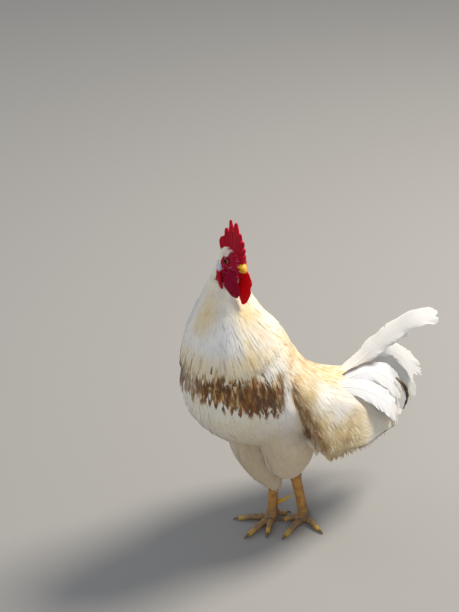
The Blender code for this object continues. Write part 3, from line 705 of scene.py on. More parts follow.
skin_points = places(skin)
skin_normals = outward(skin)
skin_faces = [list(p.vertices) for p in skin.data.polygons]
skin_tree = BVHTree.FromPolygons(skin_points.tolist(), skin_faces)
face_middle = np.array([skin_points[face].mean(axis=0) for face in skin_faces])
face_normal = unit(np.array([skin_normals[face].mean(axis=0) for face in skin_faces]))
skin_depth = np.array([flesh_tree.find_nearest(Vector(p))[3] for p in face_middle])
skin_depth = np.clip(skin_depth, 0.0009, COAT_DEPTH * 1.4)
skin_depth = np.maximum(skin_depth, COAT_DEPTH * at_wing_top(face_middle))
by_wattle = face_middle[:, 2] > 0.40
from_wattle = gap_to(face_middle[by_wattle], HEAD_NODES[2:4])
skin_depth[by_wattle] *= THINNEST + (1 - THINNEST) * rise(from_wattle, 0.001, 0.011)
face_plumed = np.array([plumed[face].mean() for face in skin_faces])
face_area = np.array([p.area for p in skin.data.polygons])
uv_flat = np.empty(len(skin.data.loops) * 2)
skin.data.uv_layers["OFBake"].data.foreach_get("uv", uv_flat)
uv_loops = uv_flat.reshape(-1, 2)
face_uv = np.array([uv_loops[p.loop_start:p.loop_start + p.loop_total].mean(axis=0)
                    for p in skin.data.polygons])
lie, lie_length, lie_width = lie_at(face_middle)
luck = np.random.default_rng(2718)


def scatter(allowed, spacing):
    """Skin faces picked at random so that no two are closer than their own spacing."""
    allowed = np.asarray(allowed, float)
    chance = face_area * allowed
    tries = int(np.sum(chance / spacing ** 2) * 6)
    picks = luck.choice(len(chance), size=tries, p=chance / chance.sum()).tolist()
    coarse = float(spacing[allowed > 0.01].max())
    middles = face_middle.tolist()
    gaps = (spacing ** 2).tolist()
    cells = {}
    kept = []
    used = set()
    for pick in picks:
        if pick in used:
            continue
        used.add(pick)
        x, y, z = middles[pick]
        gap = gaps[pick]
        column, row, level = int(x // coarse), int(y // coarse), int(z // coarse)
        clear = True
        for dx, dy, dz in product((-1, 0, 1), repeat=3):
            for a, b, c, limit in cells.get((column + dx, row + dy, level + dz), ()):
                if (a - x) ** 2 + (b - y) ** 2 + (c - z) ** 2 < min(gap, limit):
                    clear = False
        if clear:
            cells.setdefault((column, row, level), []).append((x, y, z, gap))
            kept.append(pick)
    return np.array(kept)


def trace(face, length, stray, overhang):
    """A path over the skin from a face, and the depth of the coat along it. Where the skin turns
    away sharply or is bare, the rest hangs free for as far as the overhang allows."""
    step = min(STEP, length / 4)
    point = Vector(face_middle[face])
    normal = Vector(face_normal[face])
    way = Vector(lie[face] + stray)
    way = (way - normal * way.dot(normal)).normalized()
    line = [point.copy()]
    ups = [normal.copy()]
    depths = [skin_depth[face]]
    free = 0.0
    for _ in range(int(math.ceil(length / step))):
        ahead = point + way * step
        hit, _, index, _ = skin_tree.find_nearest(ahead)
        there = Vector(face_normal[index])
        if free == 0.0 and there.dot(normal) > SHARPEST and face_plumed[index] > 0.3:
            if (hit - point).length < step * 0.3:
                break
            point = hit
            normal = (normal * 0.4 + there * 0.6).normalized()
            turn = Vector(lie[index] + stray)
            way = way * 0.55 + (turn - normal * turn.dot(normal)).normalized() * 0.45
            way = (way - normal * way.dot(normal)).normalized()
            depths.append(0.6 * depths[-1] + 0.4 * skin_depth[index])
        else:
            free += step
            if free > overhang:
                break
            way = (way + DROOP * step / STEP).normalized()
            point = ahead
            depths.append(depths[-1] * 0.8)
        line.append(point.copy())
        ups.append(normal.copy())
    return np.array(line), np.array(ups), np.array(depths)


def resample(values, distance, stations):
    return np.stack([np.interp(stations, distance, column) for column in values.T], axis=1)


def walk(line):
    """How far along a path each of its points is."""
    steps = np.linalg.norm(np.diff(line[:, :3], axis=0), axis=1)
    return np.concatenate([[0], np.cumsum(steps)])


def vanes(name, lines, ups, widths, thickness, cup, roots, chance, outline, ragged, colour_of):
    """Joins many feathers in one mesh. `lines` and `ups` are feathers x stations x 3. Each vane has
    four corners at every station: its left rim, its quill, its right rim and its underside."""
    count, stations, _ = lines.shape
    along = np.linspace(0, 1, stations)
    tangent = unit(np.gradient(lines, axis=1))
    side = unit(np.cross(tangent, ups))
    up = unit(np.cross(side, tangent))
    reach = widths[:, None] / 2 * outline[None, :]
    rough = np.random.default_rng(count).uniform(1 - ragged, 1, (2, count, stations))
    left = lines - side * (reach * rough[0])[..., None] - up * (reach * cup)[..., None]
    right = lines + side * (reach * rough[1])[..., None] - up * (reach * cup)[..., None]
    thick = thickness * (0.25 + 0.75 * outline[None, :]) * (1 - 0.5 * along[None, :])
    top = lines + up * thick[..., None]
    low = lines - up * (thick * 0.5 + reach * cup * 0.4)[..., None]
    corners = np.stack([left, top, right, low], axis=2).reshape(-1, 3)
    # The corners of each station join to the next one's, and both ends are closed.
    base = np.arange(count)[:, None, None] * stations * 4
    rung = base + np.arange(stations - 1)[None, :, None] * 4
    here = np.arange(4)[None, None, :]
    after = (here + 1) % 4
    quads = np.stack([rung + here, rung + after, rung + 4 + after, rung + 4 + here], axis=-1)
    quads = quads.reshape(-1, 4)[:, ::-1]
    root_cap = base[:, 0, :] + np.array((0, 1, 2, 3))
    tip_cap = base[:, 0, :] + (stations - 1) * 4 + np.array((3, 2, 1, 0))
    faces = np.concatenate([quads, root_cap, tip_cap])
    mesh = bpy.data.meshes.new(name)
    mesh.vertices.add(len(corners))
    mesh.vertices.foreach_set("co", corners.ravel())
    mesh.loops.add(faces.size)
    mesh.loops.foreach_set("vertex_index", faces.ravel())
    mesh.polygons.add(len(faces))
    mesh.polygons.foreach_set("loop_start", np.arange(0, faces.size, 4))
    mesh.polygons.foreach_set("use_smooth", np.ones(len(faces), bool))
    mesh.update(calc_edges=True)
    mesh.set_sharp_from_angle(angle=math.radians(80))
    across = np.tile(np.array((-1.0, 0.0, 1.0, 0.0)), count * stations)
    sweep = np.tile(np.repeat(along, 4), count)
    feather = np.repeat(np.arange(count), stations * 4)
    length = np.linalg.norm(np.diff(lines, axis=1), axis=2).sum(axis=1)
    patch = roots[feather] + np.stack([across, sweep * 2 - 1], axis=1) * BAKE_PATCH
    grain = np.stack([across * 0.5 + 0.5, sweep * length[feather] * 100], axis=1)
    for label, values in (("OFBake", patch), ("Vane", grain)):
        layer = mesh.uv_layers.new(name=label)
        layer.data.foreach_set("uv", values[faces.ravel()].ravel())
    made = bpy.data.objects.new(name, mesh)
    bpy.context.scene.collection.objects.link(made)
    paint(made, "tint", colour_of(corners, chance[feather], sweep, across))
    return made


def add_sum(material, operation, second=0.5):
    made = add_node(material, "ShaderNodeMath")
    made.operation = operation
    made.inputs[1].default_value = second
    return made


def add_scale(material):
    made = add_node(material, "ShaderNodeVectorMath")
    made.operation = "SCALE"
    return made


def feather_material(name, roughness, bars):
    """Soft barbs: fine slanted lines from the quill, and the feather's own tint."""
    made = plain_material(name, CREAM, roughness, Sheen_Weight=0.25, Sheen_Roughness=0.5,
                          Specular_IOR_Level=0.30)
    tint = add_node(made, "ShaderNodeAttribute")
    tint.attribute_name = "tint"
    vane = add_node(made, "ShaderNodeUVMap")
    vane.uv_map = "Vane"
    split = add_node(made, "ShaderNodeSeparateXYZ")
    off_quill = add_sum(made, "PINGPONG", 0.5)
    slant = add_sum(made, "MULTIPLY_ADD", 0.8)
    wave = add_sum(made, "MULTIPLY", bars)
    ridge = add_sum(made, "SINE")
    bump = add_node(made, "ShaderNodeBump", Strength=0.15, Distance=0.0002)
    streak_place = add_node(made, "ShaderNodeMapping", Scale=(9.0, 0.9, 1.0))
    streak = add_node(made, "ShaderNodeTexNoise", Scale=1.0, Detail=2.0)
    shade = add_node(made, "ShaderNodeMapRange", From_Min=0.3, From_Max=0.7, To_Min=0.91, To_Max=1.05)
    mix = add_scale(made)
    link(made, (vane, "UV", split, "Vector"), (split, "X", off_quill, 0), (off_quill, 0, slant, 0),
         (split, "Y", slant, 2), (slant, 0, wave, 0), (wave, 0, ridge, 0), (ridge, 0, bump, "Height"),
         (bump, "Normal", shader_of(made), "Normal"))
    link(made, (vane, "UV", streak_place, "Vector"), (streak_place, "Vector", streak, "Vector"),
         (streak, "Fac", shade, "Value"), (tint, "Color", mix, 0), (shade, "Result", mix, "Scale"),
         (mix, "Vector", shader_of(made), "Base Color"))
    return made


soft_vane = feather_material("soft_vane", 0.75, 90.0)


def cover(name, zone, slot, outline, crowd, length_scale=1.0, width_scale=1.0, tip_lift=1.0,
          overhang=0.006, ragged=0.12, cup=QUILL_CUP, thickness=VANE_THICK, reach=None):
    """Lays one piece of the coat over a zone of the skin, given as 0 to 1 for each face."""
    width = lie_width * width_scale
    lifts = np.ones(len(face_middle)) * tip_lift
    picks = scatter(zone, width * crowd)
    count = len(picks)
    chance = luck.uniform(0, 1, (count, 3))
    along = np.linspace(0, 1, len(outline))
    lines = np.empty((count, len(outline), 3))
    ups = np.empty((count, len(outline), 3))
    for n, face in enumerate(picks):
        length = lie_length[face] * length_scale * (0.82 + 0.32 * chance[n, 1])
        if reach is not None:
            length = min(length, max(0.012, reach(face_middle[face]) + 0.012 * (chance[n, 2] - 0.6)))
        stray = luck.normal(0, 0.07, 3)
        # Only the tips along the low outer hem hang free past the edge of the skin.
        outer = face_normal[face][0] * np.sign(face_middle[face][0]) > -0.1
        at_hem = outer and face_middle[face][2] < HEM_TOP
        free = overhang * (0.5 + chance[n, 0]) if at_hem else LEAST_HANG
        line, upward, depths = trace(face, length, stray, free)
        walked = walk(line)
        if walked[-1] < 1e-5:
            line = np.array([line[0], line[0] + lie[face] * STUB])
            upward = np.array([upward[0], upward[0]])
            depths = np.array([depths[0], depths[0]])
            walked = np.array([0, STUB])
        stations = along * walked[-1]
        ups[n] = unit(resample(upward, walked, stations))
        depth = np.interp(stations, walked, depths)
        rising = along ** 0.7 * (1 - 0.10 * along ** 5)
        lift = depth * (ROOT_LIFT + (0.36 + 0.05 * chance[n, 2]) * rising) * lifts[face]
        lines[n] = resample(line, walked, stations) + ups[n] * lift[:, None]
    made = vanes(name, lines, ups, width[picks], thickness, cup, face_uv[picks], chance,
                 np.array(outline), ragged, plumage)
    made.data.materials.append(soft_vane)
    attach(made, "root")


# How wide each shape of feather is on its way from root to tip.
LANCE = (0.35, 0.80, 0.96, 1.0, 0.97, 0.90, 0.75, 0.50, 0.08)
OVAL = (0.35, 0.80, 0.96, 1.0, 0.97, 0.86, 0.60, 0.14)
TINY = (0.30, 0.90, 1.0, 0.70, 0.10)
# The zones of the coat, by the place of each face of the skin: the neck under the head, the back
# with the wings, and the front with the belly.
x, y, z = face_middle.T
side = np.abs(x)
head_zone = rise(z, 0.416, 0.426) * face_plumed
neck_zone = (z <= 0.444) & ((z > 0.352) | ((z > 0.325) & (y > -0.115)))
rear = (y > -0.118) & (z > 0.195) | ((y > -0.10) & (side > 0.045) & (z > 0.105))
rear = rear & ~((z < 0.20) & (y < -0.065))
front = ~rear & (z < 0.370)
rear = rear & (z < 0.347)
grows = face_plumed > 0.5
on_crop = (y < -0.100) & (z > 0.19)


def cape_edge(point):
    """How far the hackle reaches from a root before it meets the edge of the cape."""
    height = 0.333 if point[1] < -0.12 else 0.333 - 0.35 * (point[1] + 0.12)
    return max(0.014, (point[2] - height) * 1.08)


cover("coat_breast", grows & front & on_crop, "plumage", LANCE, 0.54, width_scale=0.68, tip_lift=1.15)
cover("coat_belly", grows & front & ~on_crop, "plumage", OVAL, 0.46)
for name, zone, slot, crowd, settings in (
        ("coat_saddle_", rear & (side < 0.060), "plumage", 0.40, {"width_scale": 1.18}),
        ("coat_wing_", rear & (side > 0.046), "plumage", 0.40,
         {"width_scale": 1.18, "length_scale": 1.10, "overhang": 0.020}),
        ("coat_hackle_", neck_zone, "hackle", 0.35,
         {"width_scale": 1.25, "ragged": 0.06, "reach": cape_edge})):
    for half_name, half in (("left", x > 0), ("right", x <= 0)):
        cover(name + half_name, grows & zone & half, slot, LANCE, crowd, **settings)
cover("coat_head", head_zone, "hackle", TINY, 0.55, cup=0.1, thickness=0.00012,
      tip_lift=rise(z, 0.400, 0.458))

# ---- eyes ----------------------------------------------------------------------------------
# A wet ball that bulges in front, with an amber iris, a thin brown rim and a black pupil. It sits
# behind the opening of the lids.
PUPIL_BLACK = (0.003, 0.003, 0.004, 1)
RIM_BROWN = (0.02, 0.008, 0.004, 1)
iris = plain_material("iris", (0.10, 0.03, 0.01), 0.12, Coat_Weight=0.30, Coat_Roughness=0.03,
                      Specular_IOR_Level=0.0)
iris_turn = add_node(iris, "ShaderNodeAttribute")
iris_turn.attribute_name = "from_pupil"
iris_rings = add_node(iris, "ShaderNodeValToRGB")
iris_ramp = iris_rings.color_ramp
iris_ramp.elements[0].color = PUPIL_BLACK
iris_ramp.elements[1].color = RIM_BROWN
for turn, colour in ((0.34, PUPIL_BLACK), (0.37, (0.14, 0.04, 0.008, 1)),
                     (0.50, (0.70, 0.26, 0.022, 1)), (0.57, (0.40, 0.12, 0.014, 1)),
                     (0.61, RIM_BROWN)):
    iris_ramp.elements.new(turn).color = colour
iris_place = add_node(iris, "ShaderNodeTexCoord")
iris_fibre = add_node(iris, "ShaderNodeTexNoise", Scale=1800.0, Detail=2.0)
iris_mix = add_node(iris, "ShaderNodeMapRange", To_Min=0.6, To_Max=1.3)
iris_scale = add_scale(iris)
link(iris, (iris_turn, "Fac", iris_rings, "Fac"), (iris_place, "Object", iris_fibre, "Vector"),
     (iris_fibre, "Fac", iris_mix, "Value"), (iris_rings, "Color", iris_scale, 0),
     (iris_mix, "Result", iris_scale, "Scale"),
     (iris_scale, "Vector", shader_of(iris), "Base Color"))
for node, eye_middle, side in (("eye_left", eye_left, 1), ("eye_right", eye_right, -1)):
    bpy.ops.object.select_all(action="DESELECT")
    bpy.ops.mesh.primitive_uv_sphere_add(segments=48, ring_count=32, radius=EYE_RADIUS)
    ball = bpy.context.object
    ball.name = "ball_" + node
    gaze = gaze_to(side)
    turn = gaze.to_track_quat("Z", "Y").to_matrix().to_4x4()
    ball.data.transform(Matrix.Translation(eye_middle) @ turn)
    points = places(ball)
    out = unit(points - np.array(eye_middle))
    turned = np.arccos(np.clip(out @ np.array(gaze), -1, 1))
    bulge = 0.00035 * rise(turned, 0.95, 0.35)
    set_places(ball, points + out * bulge[:, None])
    layer = ball.data.attributes.new("from_pupil", "FLOAT", "POINT")
    layer.data.foreach_set("value", (turned / math.pi * 2).astype(np.float32))
    ball.data.materials.append(iris)
    bpy.ops.object.shade_smooth()
    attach(ball, "root")
    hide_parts(node)

# ---- beak ----------------------------------------------------------------------------------
# Two halves of smooth yellow horn: the upper one hooked, with a ridge along its top and a slit
# nostril on each side under a small lid; the lower one shorter and fitted under it.
HORN_YELLOW = np.array((0.78, 0.42, 0.015))
HORN_BROWN = np.array((0.30, 0.12, 0.02))
HORN_VOXEL = 0.00045
horn = tinted_material(
    "beak_horn", (0.72, 0.42, 0.03), 0.46, Subsurface_Weight=0.12, Subsurface_Radius=(1.0, 0.6, 0.2),
    Subsurface_Scale=0.0015, Specular_IOR_Level=0.30)
horn_place = add_node(horn, "ShaderNodeTexCoord")
bill_turn = math.atan2(head_forward.y, head_forward.x)
horn_streak = add_node(horn, "ShaderNodeMapping", Scale=(300.0, 1400.0, 1400.0),
                       Rotation=(0, 0, bill_turn))
horn_noise = add_node(horn, "ShaderNodeTexNoise", Scale=1.0, Detail=3.0)
horn_bump = add_node(horn, "ShaderNodeBump", Strength=0.22, Distance=0.0002)
link(horn, (horn_place, "Object", horn_streak, "Vector"),
     (horn_streak, "Vector", horn_noise, "Vector"), (horn_noise, "Fac", horn_bump, "Height"),
     (horn_bump, "Normal", shader_of(horn), "Normal"))
for node in ("beak_upper", "beak_lower"):
    bill = merged_copy("horn_" + node, [node])
    apply(bill, "REMESH", mode="VOXEL", voxel_size=HORN_VOXEL)
    apply(bill, "SMOOTH", factor=0.5, iterations=6)
    # The horn is a little smaller than its solid, towards the root of the bill.
    ahead, aside, above = in_head(places(bill)).T
    f = 0.0165 + (ahead - 0.0172) * 0.80
    side = aside * 0.94
    z = 0.0020 + (above - 0.0027) * 0.78
    set_places(bill, np.stack([f, side, z], axis=1) @ head_axes + np.array(head_middle))
    points = places(bill)
    if node == "beak_upper":
        slit = np.hypot((f - 0.0185) / 0.0021, (z + (f - 0.0185) * 0.25) / 0.0009)
        change = -0.0011 * np.exp(-slit ** 2 * 1.3) + 0.0003 * np.exp(-((slit - 1.7) / 0.5) ** 2)
        change = change * rise(np.abs(side), 0.002, 0.004)
        change += 0.00035 * rise(np.abs(side), 0.0016, 0.0) * rise(z, -0.002, 0.003)
    else:
        slit = np.full(len(points), 9.0)
        change = np.zeros(len(points))
    change += 0.00010 * (patchy(points, 0.0016, 41) - 0.5)
    set_places(bill, points + outward(bill) * change[:, None])
    shade = rise(patchy(points, 0.005, 42), 0.4, 0.8) * 0.25 + 0.55 * rise(f, 0.0150, 0.0115)
    colour = blend(all_over(HORN_YELLOW, points), HORN_BROWN, shade)
    # The nostril slit is painted dark brown: painted shade in its hollow.
    colour = blend(colour, HORN_BROWN * 0.3, rise(slit, 1.1, 0.5))
    paint(bill, "tint", colour)
    bill.data.materials.append(horn)
    smooth_all(bill)
    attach(bill, "root")
    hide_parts(node)

# ---- legs ----------------------------------------------------------------------------------
# Scaly skin over each shank and its four toes: broad overlapping plates down the front and along
# the toes, a net of small scales at the sides and behind, and flat soles.
SHANK_TAN = np.array((0.50, 0.24, 0.050))
TOE_DUST = np.array((0.24, 0.165, 0.095))
TOE_YELLOW = np.array((0.62, 0.38, 0.050))
SHANK_PLATE = 0.0050
TOE_PLATE = 0.0034
SMALL_SCALE = 0.0021
LEG_VOXEL = 0.00075
scaly = tinted_material("scaly_skin", SHANK_TAN, 0.52)
grain_over(scaly, 900.0, 4.0, 0.35, 0.0003)


def axis_of(node, start):
    """A node's two ends along its longest direction, the end nearer to `start` first."""
    points = places(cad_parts[node])
    centre = points.mean(axis=0)
    way = np.linalg.svd(points - centre, full_matrices=False)[2][0]
    reach = (points - centre) @ way
    ends = centre + way * reach.min(), centre + way * reach.max()
    return sorted(ends, key=lambda end: np.linalg.norm(end - start))


for leg in ("left", "right"):
    toes = [f"toe_{toe}_{leg}" for toe in ("outer", "middle", "inner", "hind")]
    shank = f"shank_{leg}"
    ankle = np.array(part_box(f"toe_middle_{leg}")[0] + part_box(f"toe_hind_{leg}")[1]) / 2
    foot, hock = axis_of(shank, np.array((0, 0, -1.0)))
    foot = np.array((*((ankle + foot)[:2] * 0.5), 0.004))
    limb = merged_copy("leg_" + leg, [shank] + toes, swell=0.0003)
    apply(limb, "REMESH", mode="VOXEL", voxel_size=LEG_VOXEL)
    apply(limb, "SMOOTH", factor=0.5, iterations=3)
    points = places(limb)
    normals = outward(limb)
    lines = [(foot, hock)] + [tuple(axis_of(toe, foot)) for toe in toes]
    found = [beside(points, start, end) for start, end in lines]
    apart = np.array([off_line for _, off_line in found])
    apart[0] -= 0.002
    nearest = np.argmin(apart, axis=0)
    progress = np.array([t for t, _ in found])[nearest, np.arange(len(points))]
    length = np.array([np.linalg.norm(end - start) for start, end in lines])[nearest]
    travel = progress * length
    ahead = unit((lines[2][1] - foot) * (1, 1, 0))
    facing = normals @ ahead
    on_shank = nearest == 0
    upward = normals[:, 2]
    wobble = 0.0006 * (patchy(points, 0.004, 51) - 0.5)
    plate = np.where(on_shank, (points[:, 2] + wobble) / SHANK_PLATE, (travel + wobble) / TOE_PLATE)
    plate %= 1.0
    sheet = np.where(on_shank, rise(facing, 0.05, 0.40), rise(upward, 0.0, 0.35))
    saw = np.where(on_shank, 1 - plate, plate)
    net = np.array([noise.voronoi(Vector(p) / SMALL_SCALE)[0][0] for p in points])
    change = sheet * (0.00055 * saw ** 1.5 - 0.0001)
    change += (1 - sheet) * 0.00050 * (0.45 - net) * rise(points[:, 2], 0.0004, 0.0016)
    change *= rise(points[:, 2], 0.0002, 0.0012)
    set_places(limb, points + normals * change[:, None])
    seam = sheet * (rise(saw, 0.16, 0.04) + rise(saw, 0.95, 1.0) * 0.3)
    seam += (1 - sheet) * rise(net, 0.45, 0.62) * 0.8
    dust = np.where(on_shank, rise(points[:, 2], 0.045, 0.012) * 0.75, 0.9)
    worn = rise(patchy(points, 0.006, 52), 0.35, 0.75)
    colour = blend(all_over(SHANK_TAN, points), SHANK_TAN * (0.55, 0.50, 0.5), worn * 0.6)
    colour = blend(colour, TOE_DUST, dust * (0.6 + 0.4 * worn))
    colour = blend(colour, TOE_YELLOW, ~on_shank * rise(progress, 0.62, 0.95) * 0.75)
    colour = blend(colour, DARK, np.clip(seam, 0, 1) * 0.62)
    paint(limb, "tint", colour)
    limb.data.materials.append(scaly)
    smooth_all(limb)
    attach(limb, "root")
    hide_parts(shank, *toes)

# ---- claws and spurs -----------------------------------------------------------------------
# Curved horn with growth lines: brown claws that darken to the tip, and yellow spurs behind the
# shanks.
CLAW_BROWN = np.array((0.17, 0.105, 0.055))
SPUR_YELLOW = np.array((0.66, 0.38, 0.050))
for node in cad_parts:
    if not node.startswith(("claw_", "spur_")):
        continue
    hook = merged_copy("horn_" + node, [node])
    apply(hook, "REMESH", mode="VOXEL", voxel_size=HORN_VOXEL)
    apply(hook, "SMOOTH", factor=0.5, iterations=3)
    shank = "shank_left" if "left" in node else "shank_right"
    points = places(hook)
    t, _ = beside(points, *axis_of(node, np.array(middle(shank))))
    growth = np.sin(t * 40 + 3 * patchy(points, 0.002, 61))
    set_places(hook, points + outward(hook) * (0.00005 * growth)[:, None])
    if node.startswith("claw_"):
        colour = blend(all_over(CLAW_BROWN, points), TOE_YELLOW, rise(t, 0.45, 0.0) * 0.5)
        colour = blend(colour, DARK, rise(t, 0.6, 1.0) * 0.6)
    else:
        colour = blend(all_over(SPUR_YELLOW, points), SHANK_TAN, rise(t, 0.4, 0.0))
    paint(hook, "tint", colour * (0.93 + 0.1 * growth[:, None]))
    hook.data.materials.append(horn)
    smooth_all(hook)
    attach(hook, "root")
    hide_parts(node)

# ---- tail ----------------------------------------------------------------------------------
# Broad white quill feathers stand up behind, arching sickles hang over them, and a thin dark one
# hangs last on the left. Each is a quill with a row of overlapping barbs on either side, slanted
# towards its tip, with a few splits between them.
PLUME_STATIONS = 120
BARB_PITCH = 0.00105
BARB_WIDTH = BARB_PITCH * 2.1
BARB_ARCH = 0.12
QUILL_WIDTH = 0.0021
QUILL_THICK = 0.0009
# How far a barb and a quill keep their width on the way from root to tip.
BARB = (1.0, 1.0, 1.0, 0.95, 0.80, 0.30)
QUILL = (1.0, 0.97, 0.92, 0.86, 0.80, 0.73, 0.66, 0.58, 0.50, 0.42, 0.34, 0.26, 0.18, 0.10)


def along_path(knots, count):
    """A smooth path through the knots, with evenly spread points."""
    knots = np.array(knots, float)
    ends = np.concatenate([[2 * knots[0] - knots[1]], knots, [2 * knots[-1] - knots[-2]]])
    found = []
    for n in range(1, len(ends) - 2):
        a, b, c, d = ends[n - 1:n + 3]
        for t in np.linspace(0, 1, 16, endpoint=False):
            found.append(0.5 * (2 * b + (c - a) * t + (2 * a - 5 * b + 4 * c - d) * t ** 2
                                + (3 * b - a - 3 * c + d) * t ** 3))
    found.append(knots[-1])
    found = np.array(found)
    walked = walk(found)
    return resample(found, walked, np.linspace(0, walked[-1], count)), walked[-1]


def plume(name, knots, chord, tip_chord, colour_of, seed, splits=5, blunt=0.10, slope=50.0):
    """One big feather. `knots` are x, y, z and half width. The chords point across its vane at the
    root and at the tip, and `slope` is how far the barbs stand out from the quill, in degrees."""
    path, length = along_path(knots, PLUME_STATIONS)
    along = np.linspace(0, 1, PLUME_STATIONS)
    line = path[:, :3]
    half = path[:, 3] * np.clip((1 - along) / blunt, 0, 1) ** 0.5
    tangent = unit(np.gradient(line, axis=0))
    aside = np.array(chord) * (1 - along[:, None]) + np.array(tip_chord) * along[:, None]
    aside = unit(aside - tangent * np.sum(aside * tangent, axis=1, keepdims=True))
    up = np.cross(tangent, aside)
    own = np.random.default_rng(seed)
    count = int(length / BARB_PITCH)
    start = np.linspace(0.02, 0.985, count)
    lines, ups, widths, tags = [], [], [], []
    for border in (-1, 1):
        angle = np.radians(slope - 22 * start + 4 * np.sin(start * 9 + seed))
        for at in own.uniform(0.25, 0.95, splits):
            gap = math.radians(own.uniform(1.5, 6))
            angle += np.where(start > at, -gap * np.exp(-(start - at) / 0.035), 0)
            angle += np.where(start <= at, gap * 0.6 * np.exp(-(at - start) / 0.035), 0)
        angle += np.radians(own.normal(0, 0.5, count))
        base = resample(np.concatenate([line, tangent, aside, up], axis=1), along, start)
        uneven = own.normal(0, 0.015, count) + 0.05 * np.sin(start * 40 + seed)
        reach = np.interp(start, along, half) * (1 + uneven)
        ripple = 0.0007 * np.sin(start * 31 + border + seed) + own.normal(0, 0.00012, count)
        t = np.linspace(0, 1, len(BARB))[None, :, None]
        out = t * (1 + 0.20 * (1 - t)) * reach[:, None, None]
        onward = out / np.tan(angle)[:, None, None] * (0.8 + 0.35 * t)
        lift = -BARB_ARCH * reach[:, None, None] * t ** 2 + ripple[:, None, None] * t ** 1.5
        lines.append(base[:, None, :3] + base[:, None, 3:6] * onward
                     + base[:, None, 6:9] * out * border + base[:, None, 9:] * lift)
        ups.append(np.repeat(unit(base[:, None, 9:]), len(BARB), axis=1))
        widths.append(np.full(count, BARB_WIDTH))
        tags.append(np.stack([start, np.full(count, border), own.uniform(0, 1, count)], axis=1))
    tags = np.concatenate(tags)
    spot = np.stack([0.01 + 0.98 * tags[:, 0], 0.5 + 0.2 * tags[:, 1]], axis=1)
    made = vanes(name, np.concatenate(lines), np.concatenate(ups), np.concatenate(widths),
                 VANE_THICK, 0.03, spot, tags, np.array(BARB), 0.0, colour_of)
    made.data.materials.append(tail_vane)
    stem_path, _ = along_path(knots, len(QUILL))
    stem_up = resample(up, along, np.linspace(0, 1, len(QUILL)))
    stem = vanes(name + "_quill", stem_path[None, :, :3], stem_up[None], np.array([QUILL_WIDTH]),
                 QUILL_THICK, 0.25, np.array([[0.5, 0.5]]), np.array([[0.5, 0.0, 0.5]]),
                 np.array(QUILL), 0.0, colour_of)
    stem.data.materials.append(tail_vane)
    only(made)
    stem.select_set(True)
    bpy.ops.object.join()
    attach(made, "root")
    return made


tail_vane = feather_material("tail_vane", 0.62, 70.0)
set_inputs(shader_of(tail_vane), Subsurface_Weight=0.25, Subsurface_Radius=(1.0, 0.95, 0.85),
           Subsurface_Scale=0.001)
TAIL_WHITE = np.array((0.96, 0.955, 0.93))
# A cool blue-white for the white tail feathers in shade: painted shade.
TAIL_SHADE_BLUE = np.array((0.88, 0.90, 0.94))
TAIL_CREAM = np.array((0.84, 0.74, 0.55))


# Each of these colours a plume. `barb` holds each barb's start along the quill, side and luck,
# and `out` goes from the quill to the rim.
def white_plume(points, barb, out, across):
    fading = 0.30 * rise(barb[:, 0], 0.35, 0.0) + 0.18 * barb[:, 2]
    colour = blend(all_over(TAIL_WHITE, points), TAIL_CREAM, fading)
    return colour * (0.96 + 0.05 * barb[:, 2:])


def sickle_plume(points, barb, out, across):
    low_end = rise(barb[:, 0], 0.80, 0.90) * (barb[:, 1] < 0.5)
    colour = blend(all_over(TAIL_WHITE, points), TAIL_CREAM, 0.75 * low_end + 0.15 * barb[:, 2])
    return colour * (0.96 + 0.05 * barb[:, 2:])


def edged_plume(points, barb, out, across):
    # Bluish painted shade towards the root, white further out, cream at the tip, and a dark rim.
    colour = blend(all_over(TAIL_SHADE_BLUE, points), TAIL_WHITE, 0.5 * rise(barb[:, 0], 0.3, 0.6))
    colour = blend(colour, TAIL_CREAM, 0.4 * rise(barb[:, 0], 0.75, 0.95))
    rim = (barb[:, 1] > 0) * rise(out, 0.45, 0.65)
    rim = rim * np.maximum(rise(barb[:, 0], 0.50, 0.40), rise(barb[:, 0], 0.72, 0.82))
    return blend(colour, DARK * 0.8, rim * 0.92)


def shade_blue_plume(points, barb, out, across):
    # Bluish painted shade over the feather, fading to cream towards the root and the tip.
    fading = 0.35 * rise(barb[:, 0], 0.35, 0.0) + 0.2 * barb[:, 2]
    colour = blend(all_over(TAIL_SHADE_BLUE, points), TAIL_CREAM, fading)
    return blend(colour, TAIL_CREAM, 0.4 * rise(barb[:, 0], 0.75, 0.95))


def dark_plume(points, barb, out, across):
    return blend(all_over(BEIGE, points), DARK * 0.5, rise(barb[:, 0], 0.05, 0.30))


upper = plume("tail_plume_upper", (
    (0.002, 0.020, 0.206, 0.006), (0.006, 0.081, 0.231, 0.0120), (0.010, 0.109, 0.2490, 0.0138),
    (0.019, 0.145, 0.2715, 0.0135), (0.030, 0.175, 0.2840, 0.0132), (0.0415, 0.2065, 0.2845, 0.0130)),
    (-0.68, -0.35, 0.66), (-0.68, -0.06, 0.74), white_plume, 3, splits=7, slope=60.0, blunt=0.13)
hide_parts("tail_upper")
plume("tail_plume_second", (
    (0.000, 0.020, 0.202, 0.006), (0.002, 0.080, 0.224, 0.0105), (0.006, 0.112, 0.2400, 0.0110),
    (0.012, 0.142, 0.2550, 0.0100), (0.018, 0.165, 0.2630, 0.0070)),
    (-0.62, -0.35, 0.70), (-0.62, -0.10, 0.78), white_plume, 4)
right_sickle = plume("tail_sickle_right", (
    (-0.008, 0.030, 0.200, 0.006), (-0.003, 0.097, 0.2290, 0.0105), (0.004, 0.135, 0.2345, 0.0125),
    (0.010, 0.161, 0.2205, 0.0150), (0.016, 0.1795, 0.201, 0.0165), (0.021, 0.190, 0.1800, 0.0170)),
    (-0.50, -0.25, 0.83), (-0.30, 0.80, 0.50), white_plume, 5, splits=7)
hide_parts("sickle_right")
